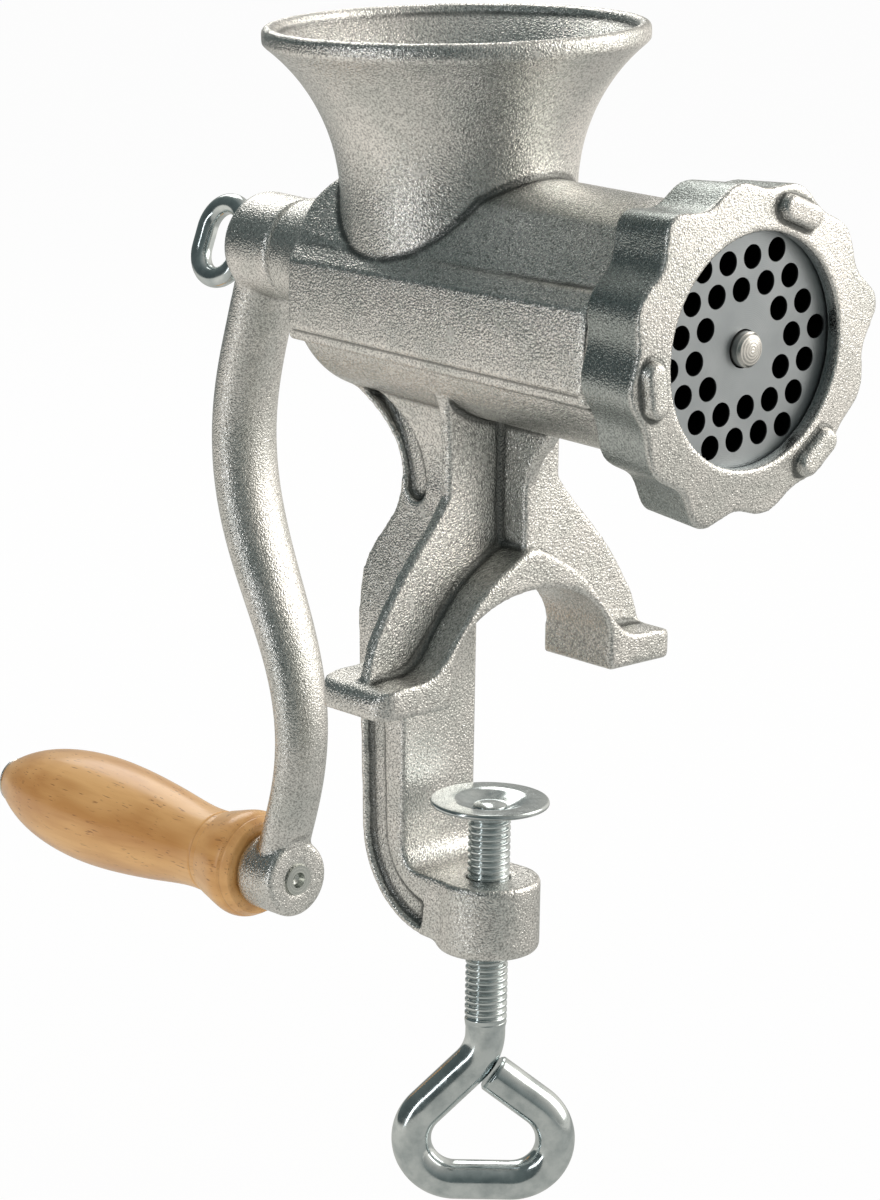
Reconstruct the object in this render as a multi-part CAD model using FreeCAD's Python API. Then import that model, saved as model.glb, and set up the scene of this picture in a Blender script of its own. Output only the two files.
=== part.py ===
"""Hand crank meat grinder that clamps to a table, all sizes in millimetres.

X runs across the grinder, Y along the barrel with the outlet at -Y and the crank
at +Y, and Z up. The origin is where the clamp screw's axis meets the plane under
the feet, so the table top is the plane Z = 0.
"""
import FreeCAD, Part
import math
import os

V = FreeCAD.Vector
ALONG_X = V(1, 0, 0)
ALONG_Y = V(0, 1, 0)
ALONG_Z = V(0, 0, 1)

# Fits
RUN_FIT = 0.08
SEAT_GAP = 0.25
THREAD_PLAY = 0.10
FAR = 400.0

# Barrel
AXIS_Z = 98.6
BORE_R = 27.0
BORE_REAR_Y = 41.0
REAR_WALL = 7.0
MOUTH_Y = -80.0
BARREL_WALL_REAR = 3.4
BARREL_WALL_FRONT = 4.4
COLLAR_LENGTH = 18.0
COLLAR_WALL = 3.8
RECESS_DEPTH = 12.6
ROOF_FLAT_ANGLE = 39.0
ROOF_FLAT_WALL = 2.3
NECK_LENGTH = 25.2
NECK_END_R = 12.6
NECK_ROOT_R = 20.0
REAR_CORNER_R = 6.0
ROOF_END_R = 19.0
BEARING_R = 9.5

# Side panels of the barrel, heights above and below the axis
PANEL_HALF_X = 32.6
PANEL_TOP = 6.0
PANEL_RISE = 3.6
PANEL_FOOT = 14.3
PANEL_REAR_SETBACK = 3.6
PANEL_CORNER_R = 5.0
PANEL_SLOPE = 4.0
BEAD_HEIGHT = 2.8
BEAD_INSET = 1.1
BEAD_GROOVE = 0.8

# Hopper, a trumpet on a slightly leaning axis
HOPPER_Y = 15.6
HOPPER_TILT = 2.8
HOPPER_NECK_R = 29.7
HOPPER_RIM_R = 48.4
HOPPER_WALL = 3.8
FLARE_R = 48.0
FLARE_BASE_Z = 122.0
RIM_LIP = 4.4
NECK_DROP = 18.0

# Saddle with two feet
FOOT_GAP_HALF = 27.4
FOOT_END_X = 51.2
FOOT_FRONT_Y = -14.8
FOOT_BACK_Y = 10.0
FOOT_HEIGHT = 8.0
TOE_R = 5.5
TOE_LENGTH = 4.0
ARCH_RISE = 17.5
BAND_BACK_Y = 9.6
BAND_CROWN = 10.4
BAND_WIDTH = 6.2
WEB_FRONT_Y = -3.2
WEB_LEAN = 1.8
WEB_THICK = 3.4
WEB_NECK_HALF_X = 19.2
WEB_NECK_Z = 50.0
RIDGE_HALF_X = 2.0
RIDGE_FRONT_Y = -12.8
RIDGE_FLARE = 9.0

# Column and clamp boss
COLUMN_HALF_X = 12.8
COLUMN_FRONT_Y = 19.0
COLUMN_BACK_Y = 37.6
COLUMN_LEAN = 3.0
RIB_HALF_X = 8.6
WAIST_Y = 26.3
WAIST_Z = 47.0
RIB_TOP_Y = 42.6
BEND_R = 26.0
INNER_BEND_R = 6.0
CHANNEL_DEPTH = 2.2
CHANNEL_TOP_Z = -6.0
CHANNEL_RIM = 1.8
CHANNEL_WIDTH = 7.4
BOSS_R = 13.4
BOSS_TOP_Z = -52.6
BOSS_HEIGHT = 19.4
ARM_UNDERCUT = 2.8

# Ring nut
RING_LENGTH = 20.2
RING_LIP = 4.2
RING_OPENING_R = 28.5
RING_LOBES = 12
RING_LOBE_PHASE = 9.0
RING_FRONT_R = 39.9
RING_REAR_R = 38.1
RING_WAVE = 1.1
RING_EAR = 3.3
RING_EAR_COUNT = 3
RING_EAR_WIDTH = 8.5
RING_FACE_DROP = 1.6
LUG_COUNT = 3
LUG_PHASE = 68.0
LUG_MARGIN = 2.9
LUG_LENGTH = 14.0
LUG_WIDTH = 6.4
LUG_HEIGHT = 3.0

# Cutting plate and its key
PLATE_R = 31.0
PLATE_PLAY = 0.25
PLATE_THICK = 7.4
PLATE_PROUD = 3.4
HOLE_PITCH = 8.3
HOLE_R = 3.0
HOLE_TURN = 5.3
STUD_HOLE_R = 4.75
KEY_R = 1.8
KEY_REACH = 2.2

# Worm, stud and knife
WORM_R = 26.5
WORM_CORE_REAR_R = 9.5
WORM_CORE_FRONT_R = 13.0
WORM_PITCH = 27.0
FLIGHT_TIP = 3.4
FLIGHT_ROOT = 6.4
JOURNAL_R = 7.8
WASHER_THICK = 1.6
WASHER_R = 14.0
TANG_SIDE = 10.6
TANG_PLAY = 0.15
TANG_LENGTH = 11.0
STUD_R = 4.35
STUD_PROUD = 2.6
STUD_CROWN = 0.6
STUD_SQUARE = 10.0
STUD_SHANK_R = 4.0
STUD_SHANK_LENGTH = 18.0
KNIFE_R = 28.4
KNIFE_HUB_R = 9.6
KNIFE_THICK = 7.0
KNIFE_BLADES = 4
BLADE_WIDTH = 9.0

# Crank
HUB_R = 13.5
HUB_LENGTH = 19.2
HUB_ROUND_R = 5.0
CRANK_EDGE = 1.0
CRANK_RADIUS = 170.6
ARM_SWING = 13.6
ARM_TOP_HALF_X = 9.6
ARM_TOP_HALF_Y = 7.0
ARM_END_HALF_X = 7.75
ARM_END_HALF_Y = 5.6
PIVOT_R = 10.4
PIVOT_LENGTH = 14.0

# Thumb screw of the crank
THUMB_R = 4.0
THUMB_WIRE_R = 2.75
THUMB_HEIGHT = 25.4
THUMB_REACH = 20.3
THUMB_STANDOFF = 1.75
THUMB_BITE = 9.0
THUMB_TURN = 20.0
THUMB_DROP = 2.0

# Grip
SPINDLE_R = 3.5
SPINDLE_HEAD_R = 4.1
SPINDLE_HEAD = 0.8
SPINDLE_DIMPLE_R = 2.0
GRIP_LENGTH = 105.6
GRIP_BEAD_R = 14.6
GRIP_WAIST_R = 11.2
GRIP_BELLY_R = 15.3
GRIP_TAIL_R = 6.8
GRIP_GROOVE = 0.6
CAP_R = 6.6
CAP_THICK = 1.8

# Clamp screw and pad
SCREW_R = 5.5
SCREW_TOP_Z = -36.0
SCREW_END_Z = -93.5
SCREW_NECK_R = 4.8
LOOP_WIRE_R = 5.15
LOOP_HALF_WIDTH = 23.8
LOOP_BOTTOM_Z = -140.6
LOOP_CORNER_R = 11.5
LOOP_TURN = -43.0
LOOP_BEND_R = 13.0
LOOP_BEND_DROP = 6.7
LOOP_BUTT_DROP = 10.8
PAD_R = 15.3
PAD_THICK = 1.5
PAD_DISH = 2.2
PAD_DISH_R = 10.5
PAD_CONE = 4.6
RIVET_R = 3.2
RIVET_HEAD_R = 4.4
RIVET_HEAD = 1.2

# Places worked out from the sizes above
MOUTH_R = PLATE_R + PLATE_PLAY
COLLAR_R = MOUTH_R + COLLAR_WALL
COLLAR_REAR_Y = MOUTH_Y + COLLAR_LENGTH
RECESS_REAR_Y = MOUTH_Y + RECESS_DEPTH
BARREL_REAR_R = BORE_R + BARREL_WALL_REAR
BARREL_FRONT_R = BORE_R + BARREL_WALL_FRONT
BARREL_END_Y = BORE_REAR_Y + REAR_WALL
NECK_END_Y = BARREL_END_Y + NECK_LENGTH
PLATE_FRONT_Y = MOUTH_Y - PLATE_PROUD
PLATE_BACK_Y = PLATE_FRONT_Y + PLATE_THICK
RING_FRONT_Y = PLATE_FRONT_Y - SEAT_GAP - RING_LIP
RING_REAR_Y = RING_FRONT_Y + RING_LENGTH
KNIFE_FRONT_Y = PLATE_BACK_Y + SEAT_GAP
KNIFE_BACK_Y = KNIFE_FRONT_Y + KNIFE_THICK
WORM_REAR_Y = BORE_REAR_Y - WASHER_THICK - 2 * SEAT_GAP
WORM_FRONT_Y = KNIFE_BACK_Y + SEAT_GAP
HUB_FRONT_Y = NECK_END_Y + SEAT_GAP
HUB_BACK_Y = HUB_FRONT_Y + HUB_LENGTH
TANG_END_Y = HUB_FRONT_Y + TANG_LENGTH
PIVOT_Z = AXIS_Z - CRANK_RADIUS
PIVOT_FRONT_Y = HUB_FRONT_Y
PIVOT_BACK_Y = PIVOT_FRONT_Y + PIVOT_LENGTH
GRIP_FRONT_Y = PIVOT_BACK_Y + SEAT_GAP
GRIP_END_Y = GRIP_FRONT_Y + GRIP_LENGTH
CAP_FRONT_Y = GRIP_END_Y + SEAT_GAP
CAP_END_Y = CAP_FRONT_Y + CAP_THICK
PAD_UNDER_Z = SCREW_TOP_Z + SEAT_GAP + PAD_DISH
BOSS_BOTTOM_Z = BOSS_TOP_Z - BOSS_HEIGHT
BEND_Z = BOSS_BOTTOM_Z + ARM_UNDERCUT + BEND_R
COLUMN_HEAD_Z = FOOT_HEIGHT + 11.0
ARCH_CROWN_Z = FOOT_HEIGHT + ARCH_RISE
LEG_END_X = FOOT_END_X - TOE_LENGTH
BARREL_UNDER_Z = AXIS_Z - BARREL_FRONT_R
LUG_CENTRE_R = RING_OPENING_R + LUG_MARGIN + LUG_WIDTH / 2


def in_side(y, z):
    """Point of the middle plane, seen from the side."""
    return V(0, y, z)


def in_front(x, z):
    """Point of the plane Y = 0, seen from the front."""
    return V(x, 0, z)


def in_plan(x, y):
    """Point of the plane Z = 0, seen from above."""
    return V(x, y, 0)


def polar(centre, radius, degrees):
    """Flat point at an angle on a circle."""
    angle = math.radians(degrees)
    return (centre[0] + radius * math.cos(angle), centre[1] + radius * math.sin(angle))


def dome(rim_r, rim, crown):
    """Leg of a turned outline: a cap of a ball from its rim up to the axis."""
    rise = crown - rim
    ball_r = (rim_r ** 2 + rise ** 2) / (2 * rise)
    half_turn = math.asin(rim_r / abs(ball_r)) / 2
    middle = crown - ball_r + ball_r * math.cos(half_turn)
    return ((abs(ball_r) * math.sin(half_turn), middle), (0, crown))


def outline(place, start, *legs):
    """Closed wire: a point is a straight run, a pair of points an arc by way of the
    first, and a list of points a smooth curve."""
    edges = []
    here = start
    for leg in legs:
        if isinstance(leg, list):
            curve = Part.BSplineCurve()
            curve.interpolate([place(*point) for point in [here] + leg])
            edges.append(curve.toShape())
            here = leg[-1]
        elif isinstance(leg[0], tuple):
            edges.append(Part.Arc(place(*here), place(*leg[0]), place(*leg[1])).toShape())
            here = leg[1]
        else:
            edges.append(Part.LineSegment(place(*here), place(*leg)).toShape())
            here = leg
    if here != start:
        edges.append(Part.LineSegment(place(*here), place(*start)).toShape())
    return Part.Wire(edges)


def prism(wire, along, start, end):
    """Solid that a flat wire sweeps between two stations along a direction."""
    face = Part.Face(wire)
    face.translate(along * start)
    return face.extrude(along * (end - start))


def turned_y(height, start, *legs):
    """Solid turned about a Y axis at a height, from (radius, y) points."""
    wire = outline(lambda radius, y: V(radius, y, height), start, *legs)
    return Part.Face(wire).revolve(V(0, 0, height), ALONG_Y, 360)


def turned_z(start, *legs):
    """Solid turned about the Z axis, from (radius, z) points."""
    return Part.Face(outline(in_front, start, *legs)).revolve(V(0, 0, 0), ALONG_Z, 360)


def rod_y(radius, start, end, height=AXIS_Z):
    """Round bar along Y."""
    return Part.makeCylinder(radius, end - start, V(0, start, height), ALONG_Y)


def square_y(side, start, end):
    """Square bar along the barrel's axis."""
    corner = V(-side / 2, start, AXIS_Z - side / 2)
    return Part.makeBox(side, end - start, side, corner)


def mirrored(shape):
    """Shape joined with its mirror image across the middle plane."""
    return shape.fuse(shape.mirror(V(0, 0, 0), ALONG_X))


def turned_copies(shape, count, first=0.0):
    """Copies of a shape spread round the barrel's axis, seen from the outlet."""
    copies = []
    for index in range(count):
        copy = shape.copy()
        copy.rotate(V(0, 0, AXIS_Z), ALONG_Y, -first - index * 360.0 / count)
        copies.append(copy)
    return copies


def barrel():
    """Outside of the barrel: tube and threaded collar, rounded roof end and rear neck."""
    corner = REAR_CORNER_R
    middle = (BARREL_REAR_R - corner, BARREL_END_Y - corner)
    tube = turned_y(
        AXIS_Z,
        (0, BARREL_END_Y),
        (middle[0], BARREL_END_Y),
        (polar(middle, corner, 45), (BARREL_REAR_R, middle[1])),
        (BARREL_FRONT_R, COLLAR_REAR_Y),
        (COLLAR_R, COLLAR_REAR_Y - COLLAR_WALL),
        (COLLAR_R, MOUTH_Y),
        (0, MOUTH_Y),
    )
    reach = BORE_R + ROOF_FLAT_WALL
    flat = Part.makeBox(FAR, BARREL_END_Y + FAR, FAR, V(reach, COLLAR_REAR_Y, AXIS_Z - FAR / 2))
    for angle in (-ROOF_FLAT_ANGLE, ROOF_FLAT_ANGLE - 180.0):
        cutter = flat.copy()
        cutter.rotate(V(0, 0, AXIS_Z), ALONG_Y, angle)
        tube = tube.cut(cutter)
    roof = AXIS_Z + BARREL_REAR_R
    turn = (BARREL_END_Y - ROOF_END_R, roof - ROOF_END_R)
    above = outline(
        in_side,
        (BARREL_END_Y, turn[1]),
        (polar(turn, ROOF_END_R, 45), (turn[0], roof)),
        (turn[0], roof + ROOF_END_R),
        (BARREL_END_Y + ROOF_END_R, roof + ROOF_END_R),
        (BARREL_END_Y + ROOF_END_R, turn[1]),
    )
    tube = tube.cut(prism(above, ALONG_X, -FAR, FAR))
    neck = turned_y(
        AXIS_Z,
        (0, NECK_END_Y),
        (NECK_END_R, NECK_END_Y),
        (NECK_END_R + 1.6, NECK_END_Y - 1.6),
        ((NECK_END_R + 3.4, NECK_END_Y - NECK_LENGTH / 2), (NECK_ROOT_R, BARREL_END_Y + 3.0)),
        (NECK_ROOT_R + 2.0, BARREL_END_Y - 1.0),
        (0, BARREL_END_Y - 1.0),
    )
    return tube.fuse(neck)


def panel_section(y, top):
    """Half cross-section of the casing at a station, with its bead and its bevelled top."""
    foot = AXIS_Z - PANEL_FOOT
    groove = foot + BEAD_HEIGHT
    low = groove + BEAD_GROOVE
    bead_x = PANEL_HALF_X - BEAD_INSET
    groove_x = bead_x - BEAD_GROOVE
    return outline(
        lambda x, z: V(x, y, z),
        (0, top + PANEL_SLOPE),
        (PANEL_HALF_X - PANEL_SLOPE, top + PANEL_SLOPE),
        (PANEL_HALF_X, top),
        ((PANEL_HALF_X + 0.4, (top + low) / 2), (PANEL_HALF_X, low)),
        (groove_x, low),
        (groove_x, groove),
        (bead_x, groove),
        ((bead_x + 0.2, (groove + foot) / 2), (bead_x - 0.8, foot)),
        (0, foot),
    )


def side_panels():
    """Flat-sided casing along both sides of the barrel, its top edge rising to the front."""
    high = AXIS_Z + PANEL_TOP + PANEL_RISE
    ends = [panel_section(COLLAR_REAR_Y, high), panel_section(BARREL_END_Y, high - PANEL_RISE)]
    slab = mirrored(Part.makeLoft(ends, True, True))
    rear = BARREL_END_Y - PANEL_REAR_SETBACK
    edge = PANEL_HALF_X + 1.0
    corner = PANEL_CORNER_R
    plan = outline(
        in_plan,
        (-edge, COLLAR_REAR_Y),
        (edge, COLLAR_REAR_Y),
        (edge, rear - corner),
        (polar((edge - corner, rear - corner), corner, 45), (edge - corner, rear)),
        (corner - edge, rear),
        (polar((corner - edge, rear - corner), corner, 135), (-edge, rear - corner)),
    )
    return slab.common(prism(plan, ALONG_Z, 0, high + PANEL_SLOPE + 1))


def flare_point(radius, height):
    """Radius of a flare curve about the trumpet's centre, at a height above its base."""
    centre = HOPPER_NECK_R + FLARE_R
    return (centre - math.sqrt(radius ** 2 - height ** 2), height)


def lean(shape):
    """Stand a hopper shape on the barrel, leaning as the hopper does."""
    shape.rotate(V(0, 0, 0), ALONG_X, -HOPPER_TILT)
    shape.translate(V(0, HOPPER_Y, FLARE_BASE_Z))
    return shape


def hopper_outside():
    """Trumpet with a rounded rim and a straight neck that goes into the barrel."""
    rim_drop = FLARE_R - (HOPPER_RIM_R - HOPPER_NECK_R)
    flare_height = math.sqrt(FLARE_R ** 2 - rim_drop ** 2)
    crown = flare_height + RIM_LIP
    inner = flare_point(FLARE_R + HOPPER_WALL, crown - RIM_LIP / 2)
    middle = ((inner[0] + HOPPER_RIM_R) / 2, crown)
    return lean(turned_z(
        (0, -NECK_DROP),
        (HOPPER_NECK_R, -NECK_DROP),
        (HOPPER_NECK_R, 0),
        (flare_point(FLARE_R, flare_height * 0.55), (HOPPER_RIM_R, flare_height)),
        (HOPPER_RIM_R, crown - RIM_LIP / 2),
        (middle, inner),
        (0, inner[1]),
    ))


def hopper_inside():
    """Room inside the hopper, down through the throat to the barrel's axis."""
    inner_r = FLARE_R + HOPPER_WALL
    rim_drop = FLARE_R - (HOPPER_RIM_R - HOPPER_NECK_R)
    top = math.sqrt(FLARE_R ** 2 - rim_drop ** 2) + RIM_LIP / 2
    throat = HOPPER_NECK_R - HOPPER_WALL
    return lean(turned_z(
        (0, AXIS_Z - FLARE_BASE_Z),
        (throat, AXIS_Z - FLARE_BASE_Z),
        (throat, 0),
        (flare_point(inner_r, top * 0.55), flare_point(inner_r, top)),
        (flare_point(inner_r, top)[0], top + RIM_LIP),
        (0, top + RIM_LIP),
    ))


def arch(start, end):
    """Prism of the arch between the feet, a half ellipse on straight sides."""
    half = FOOT_GAP_HALF
    ellipse = Part.Ellipse(V(half, 0, FOOT_HEIGHT), V(0, 0, ARCH_CROWN_Z), V(0, 0, FOOT_HEIGHT))
    vault = prism(Part.Wire(ellipse.toShape()), ALONG_Y, start, end)
    sides = Part.makeBox(2 * half, end - start, ARCH_CROWN_Z, V(-half, start, -ARCH_RISE))
    return vault.fuse(sides)


def web():
    """Thin splayed plate of the two legs, from the barrel down to the feet."""
    top = AXIS_Z - BORE_R * 0.75
    neck = WEB_NECK_HALF_X
    spread = LEG_END_X - neck
    fall = WEB_NECK_Z - FOOT_HEIGHT

    def on_leg(across, down):
        return (neck + across * spread, WEB_NECK_Z - down * fall)

    leg = outline(
        in_front,
        (0, top),
        (neck + 2.6, top),
        [(neck + 0.6, BARREL_UNDER_Z), (neck, WEB_NECK_Z + 6.0)],
        (neck, WEB_NECK_Z),
        [on_leg(0.09, 0.09), on_leg(0.27, 0.22), on_leg(0.485, 0.38), on_leg(0.65, 0.52), on_leg(0.80, 0.67),
         on_leg(0.93, 0.84), on_leg(1.0, 1.0)],
        (LEG_END_X, FOOT_HEIGHT / 2),
        (0, FOOT_HEIGHT / 2),
    )
    low = WEB_FRONT_Y - WEB_LEAN
    plate = outline(
        in_side,
        (WEB_FRONT_Y, top),
        (WEB_FRONT_Y, WEB_NECK_Z),
        (low, FOOT_HEIGHT),
        (low, 0),
        (low + WEB_THICK, 0),
        (low + WEB_THICK, FOOT_HEIGHT),
        (WEB_FRONT_Y + WEB_THICK, WEB_NECK_Z),
        (WEB_FRONT_Y + WEB_THICK, top),
    )
    return mirrored(prism(leg, ALONG_Y, -FAR, FAR)).common(prism(plate, ALONG_X, -FAR, FAR))


def feet():
    """Two flat feet with rounded toes."""
    toe = outline(
        in_front,
        (FOOT_GAP_HALF, 0),
        (FOOT_END_X, 0),
        (FOOT_END_X, FOOT_HEIGHT * 0.45),
        ((FOOT_END_X - TOE_LENGTH * 0.28, FOOT_HEIGHT * 0.78), (LEG_END_X, FOOT_HEIGHT * 0.94)),
        (LEG_END_X - TOE_LENGTH, FOOT_HEIGHT),
        (FOOT_GAP_HALF, FOOT_HEIGHT),
    )
    inner_x = FOOT_END_X - TOE_R
    fore, aft = FOOT_FRONT_Y + TOE_R, FOOT_BACK_Y - TOE_R
    tread = outline(
        in_plan,
        (0, FOOT_FRONT_Y),
        (inner_x, FOOT_FRONT_Y),
        (polar((inner_x, fore), TOE_R, -45), (FOOT_END_X, fore)),
        (FOOT_END_X, aft),
        (polar((inner_x, aft), TOE_R, 45), (inner_x, FOOT_BACK_Y)),
        (0, FOOT_BACK_Y),
    )
    foot = prism(toe, ALONG_Y, FOOT_FRONT_Y, FOOT_BACK_Y)
    return mirrored(foot.common(prism(tread, ALONG_Z, 0, FOOT_HEIGHT)))


def saddle():
    """Two legs under the barrel: a thin web, a deep arch band with feet and a front ridge."""
    crown = ARCH_CROWN_Z + BAND_CROWN
    reach = FOOT_GAP_HALF + BAND_WIDTH
    rise = crown - FOOT_HEIGHT

    def on_band(across, up):
        return (reach * across, FOOT_HEIGHT + rise * up)

    band_outline = outline(
        in_front,
        (0, crown),
        (RIDGE_HALF_X, crown),
        [on_band(0.18, 0.93), on_band(0.33, 0.83), on_band(0.47, 0.72), on_band(0.58, 0.60), on_band(0.67, 0.48),
         on_band(0.75, 0.36), on_band(0.83, 0.24), on_band(0.91, 0.13), on_band(1.0, 0.05), on_band(1.14, 0.0)],
        on_band(1.14, -0.1),
        on_band(0, -0.1),
    )
    band = mirrored(prism(band_outline, ALONG_Y, FOOT_FRONT_Y, BAND_BACK_Y))
    ridge_outline = outline(
        in_side,
        (WEB_FRONT_Y + WEB_THICK / 2, crown - 2.0),
        (RIDGE_FRONT_Y, crown - 2.0),
        (RIDGE_FRONT_Y, BARREL_UNDER_Z - 16.0),
        [(RIDGE_FRONT_Y - RIDGE_FLARE * 0.12, BARREL_UNDER_Z - 11.0),
         (RIDGE_FRONT_Y - RIDGE_FLARE * 0.31, BARREL_UNDER_Z - 8.0),
         (RIDGE_FRONT_Y - RIDGE_FLARE * 0.60, BARREL_UNDER_Z - 5.0),
         (RIDGE_FRONT_Y - RIDGE_FLARE, BARREL_UNDER_Z + 0.4)],
        (RIDGE_FRONT_Y - RIDGE_FLARE, AXIS_Z - BORE_R),
        (WEB_FRONT_Y + WEB_THICK / 2, AXIS_Z - BORE_R),
    )
    ridge = prism(ridge_outline, ALONG_X, -RIDGE_HALF_X, RIDGE_HALF_X)
    whole = web().fuse([feet(), band, ridge])
    return whole.cut(arch(FOOT_FRONT_Y - 1, FOOT_BACK_Y + 1))


def rear_curve():
    """Back edge of the rib from the barrel down to the column, as side-view points."""
    swell = COLUMN_BACK_Y - WAIST_Y
    return [
        (WAIST_Y + 0.33 * (RIB_TOP_Y - WAIST_Y), WAIST_Z + 14.5),
        (WAIST_Y, WAIST_Z),
        (WAIST_Y + 0.25 * swell, WAIST_Z - 9.0),
        (WAIST_Y + 0.63 * swell, WAIST_Z - 15.2),
        (WAIST_Y + 0.91 * swell, WAIST_Z - 21.5),
        (COLUMN_BACK_Y, COLUMN_HEAD_Z),
    ]


def channel(top, floor_x):
    """Groove between the rims along one side of the column, round the bend to the boss."""
    low = COLUMN_BACK_Y - COLUMN_LEAN
    lean_here = COLUMN_LEAN * (top - BEND_Z) / (COLUMN_HEAD_Z - BEND_Z)
    centre = (low - BEND_R, BEND_Z)
    outer_r = BEND_R - CHANNEL_RIM
    inner_r = outer_r - CHANNEL_WIDTH
    stop = -82.0
    rear, fore = low - CHANNEL_RIM, low - CHANNEL_RIM - CHANNEL_WIDTH
    groove = outline(
        in_side,
        (fore + lean_here, top),
        (fore, BEND_Z),
        (polar(centre, inner_r, stop / 2), polar(centre, inner_r, stop)),
        polar(centre, outer_r, stop),
        (polar(centre, outer_r, stop / 2), (rear, BEND_Z)),
        (rear + lean_here, top),
    )
    return prism(groove, ALONG_X, floor_x, FAR)


def upper_channel(floor_x):
    """Groove along one side of the rib, from the waist up to the barrel."""
    top = AXIS_Z - BORE_R
    rear = [(y - CHANNEL_RIM, z) for y, z in rear_curve()[:2]]
    fore = [(y - CHANNEL_WIDTH, z) for y, z in rear]
    groove = outline(
        in_side,
        (RIB_TOP_Y - CHANNEL_RIM, top),
        [rear[0], rear[1]],
        ((WAIST_Y - CHANNEL_RIM - CHANNEL_WIDTH / 2, WAIST_Z - CHANNEL_WIDTH / 2), fore[1]),
        [fore[0], (RIB_TOP_Y - CHANNEL_RIM - CHANNEL_WIDTH, top)],
    )
    return prism(groove, ALONG_X, floor_x, FAR)


def column():
    """Rib behind the saddle, column past the table's edge, bend and clamp boss."""
    top = AXIS_Z - BORE_R
    low = COLUMN_BACK_Y - COLUMN_LEAN
    centre = (low - BEND_R, BEND_Z)
    under_z = BEND_Z - BEND_R
    fillet = INNER_BEND_R
    inner = (COLUMN_FRONT_Y - fillet, BOSS_TOP_Z + fillet)
    vault = (COLUMN_FRONT_Y - fillet, ARCH_CROWN_Z - fillet)
    profile = outline(
        in_side,
        (0, BOSS_TOP_Z),
        (inner[0], BOSS_TOP_Z),
        (polar(inner, fillet, -45), (COLUMN_FRONT_Y, inner[1])),
        (COLUMN_FRONT_Y, vault[1]),
        (polar(vault, fillet, 45), (vault[0], ARCH_CROWN_Z)),
        (WEB_FRONT_Y + WEB_THICK / 2, ARCH_CROWN_Z),
        (WEB_FRONT_Y + WEB_THICK / 2, top),
        (RIB_TOP_Y, top),
        rear_curve(),
        (low, BEND_Z),
        (polar(centre, BEND_R, -45), (centre[0], under_z)),
        (0, under_z),
    )
    slab = prism(profile, ALONG_X, -COLUMN_HALF_X, COLUMN_HALF_X)
    width = outline(
        in_front,
        (COLUMN_HALF_X, BOSS_BOTTOM_Z),
        (COLUMN_HALF_X, FOOT_HEIGHT),
        [(COLUMN_HALF_X - 0.5, FOOT_HEIGHT + 6.0), (RIB_HALF_X + 0.5, WAIST_Z - 9.0), (RIB_HALF_X, WAIST_Z)],
        [(RIB_HALF_X + 0.6, top - 9.0), (RIB_HALF_X + 4.0, top)],
        (0, top),
        (0, BOSS_BOTTOM_Z),
    )
    bar = slab.common(mirrored(prism(width, ALONG_Y, -FAR, FAR)))
    lower = channel(CHANNEL_TOP_Z, COLUMN_HALF_X - CHANNEL_DEPTH)
    upper = upper_channel(RIB_HALF_X - CHANNEL_DEPTH)
    for groove in (lower, upper):
        bar = bar.cut(groove).cut(groove.mirror(V(0, 0, 0), ALONG_X))
    chamfer = 1.3
    boss = turned_z(
        (0, BOSS_BOTTOM_Z),
        (BOSS_R - chamfer, BOSS_BOTTOM_Z),
        (BOSS_R, BOSS_BOTTOM_Z + chamfer),
        (BOSS_R, BOSS_TOP_Z - chamfer / 2),
        (BOSS_R - chamfer / 2, BOSS_TOP_Z),
        (0, BOSS_TOP_Z),
    )
    return bar.fuse(boss)


def body():
    """The casting: everything joined, then bored, opened and drilled."""
    solid = barrel().fuse([side_panels(), hopper_outside(), saddle(), column()])
    bore = turned_y(
        AXIS_Z,
        (0, BORE_REAR_Y),
        (BORE_R, BORE_REAR_Y),
        (BORE_R, RECESS_REAR_Y),
        (MOUTH_R, RECESS_REAR_Y),
        (MOUTH_R, MOUTH_Y - 1),
        (0, MOUTH_Y - 1),
    )
    bearing = rod_y(BEARING_R, BORE_REAR_Y - 1, NECK_END_Y + 1)
    screw_way = Part.makeCylinder(SCREW_R + THREAD_PLAY, BOSS_HEIGHT + 2, V(0, 0, BOSS_BOTTOM_Z - 1))
    return solid.cut([bore, bearing, hopper_inside(), screw_way, key_hole()])


def key_place():
    """Station along the barrel of the plate's key."""
    return MOUTH_Y + KEY_R + 1.0


def key_hole():
    """Radial hole under the mouth for the plate's key."""
    depth = COLLAR_WALL - 0.8
    return Part.makeCylinder(KEY_R + 0.02, depth + 1, V(0, key_place(), AXIS_Z - MOUTH_R - depth))


def plate_key():
    """Pin that stands up from the barrel's mouth into the plate's notch."""
    depth = COLLAR_WALL - 0.8
    return Part.makeCylinder(KEY_R, depth + KEY_REACH, V(0, key_place(), AXIS_Z - MOUTH_R - depth))


def ring_radius(mean, turn):
    """Radius of the ring's outline at a turn in degrees from an ear: a wave plus the ears."""
    spacing = 360.0 / RING_EAR_COUNT
    off_ear = (turn + spacing / 2) % spacing - spacing / 2
    wave = RING_WAVE * math.cos(math.radians(RING_LOBES * turn))
    return mean + wave + RING_EAR * math.exp(-((off_ear / RING_EAR_WIDTH) ** 2))


def lobed_wire(mean, y):
    """Closed wavy outline of the ring round the barrel's axis."""
    steps = RING_LOBES * 10
    points = []
    for index in range(steps):
        turn = 360.0 * index / steps
        x, z = polar((0, AXIS_Z), ring_radius(mean, turn), turn + RING_LOBE_PHASE)
        points.append(V(x, y, z))
    curve = Part.BSplineCurve()
    curve.interpolate(points, PeriodicFlag=True)
    return Part.Wire(curve.toShape())


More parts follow.
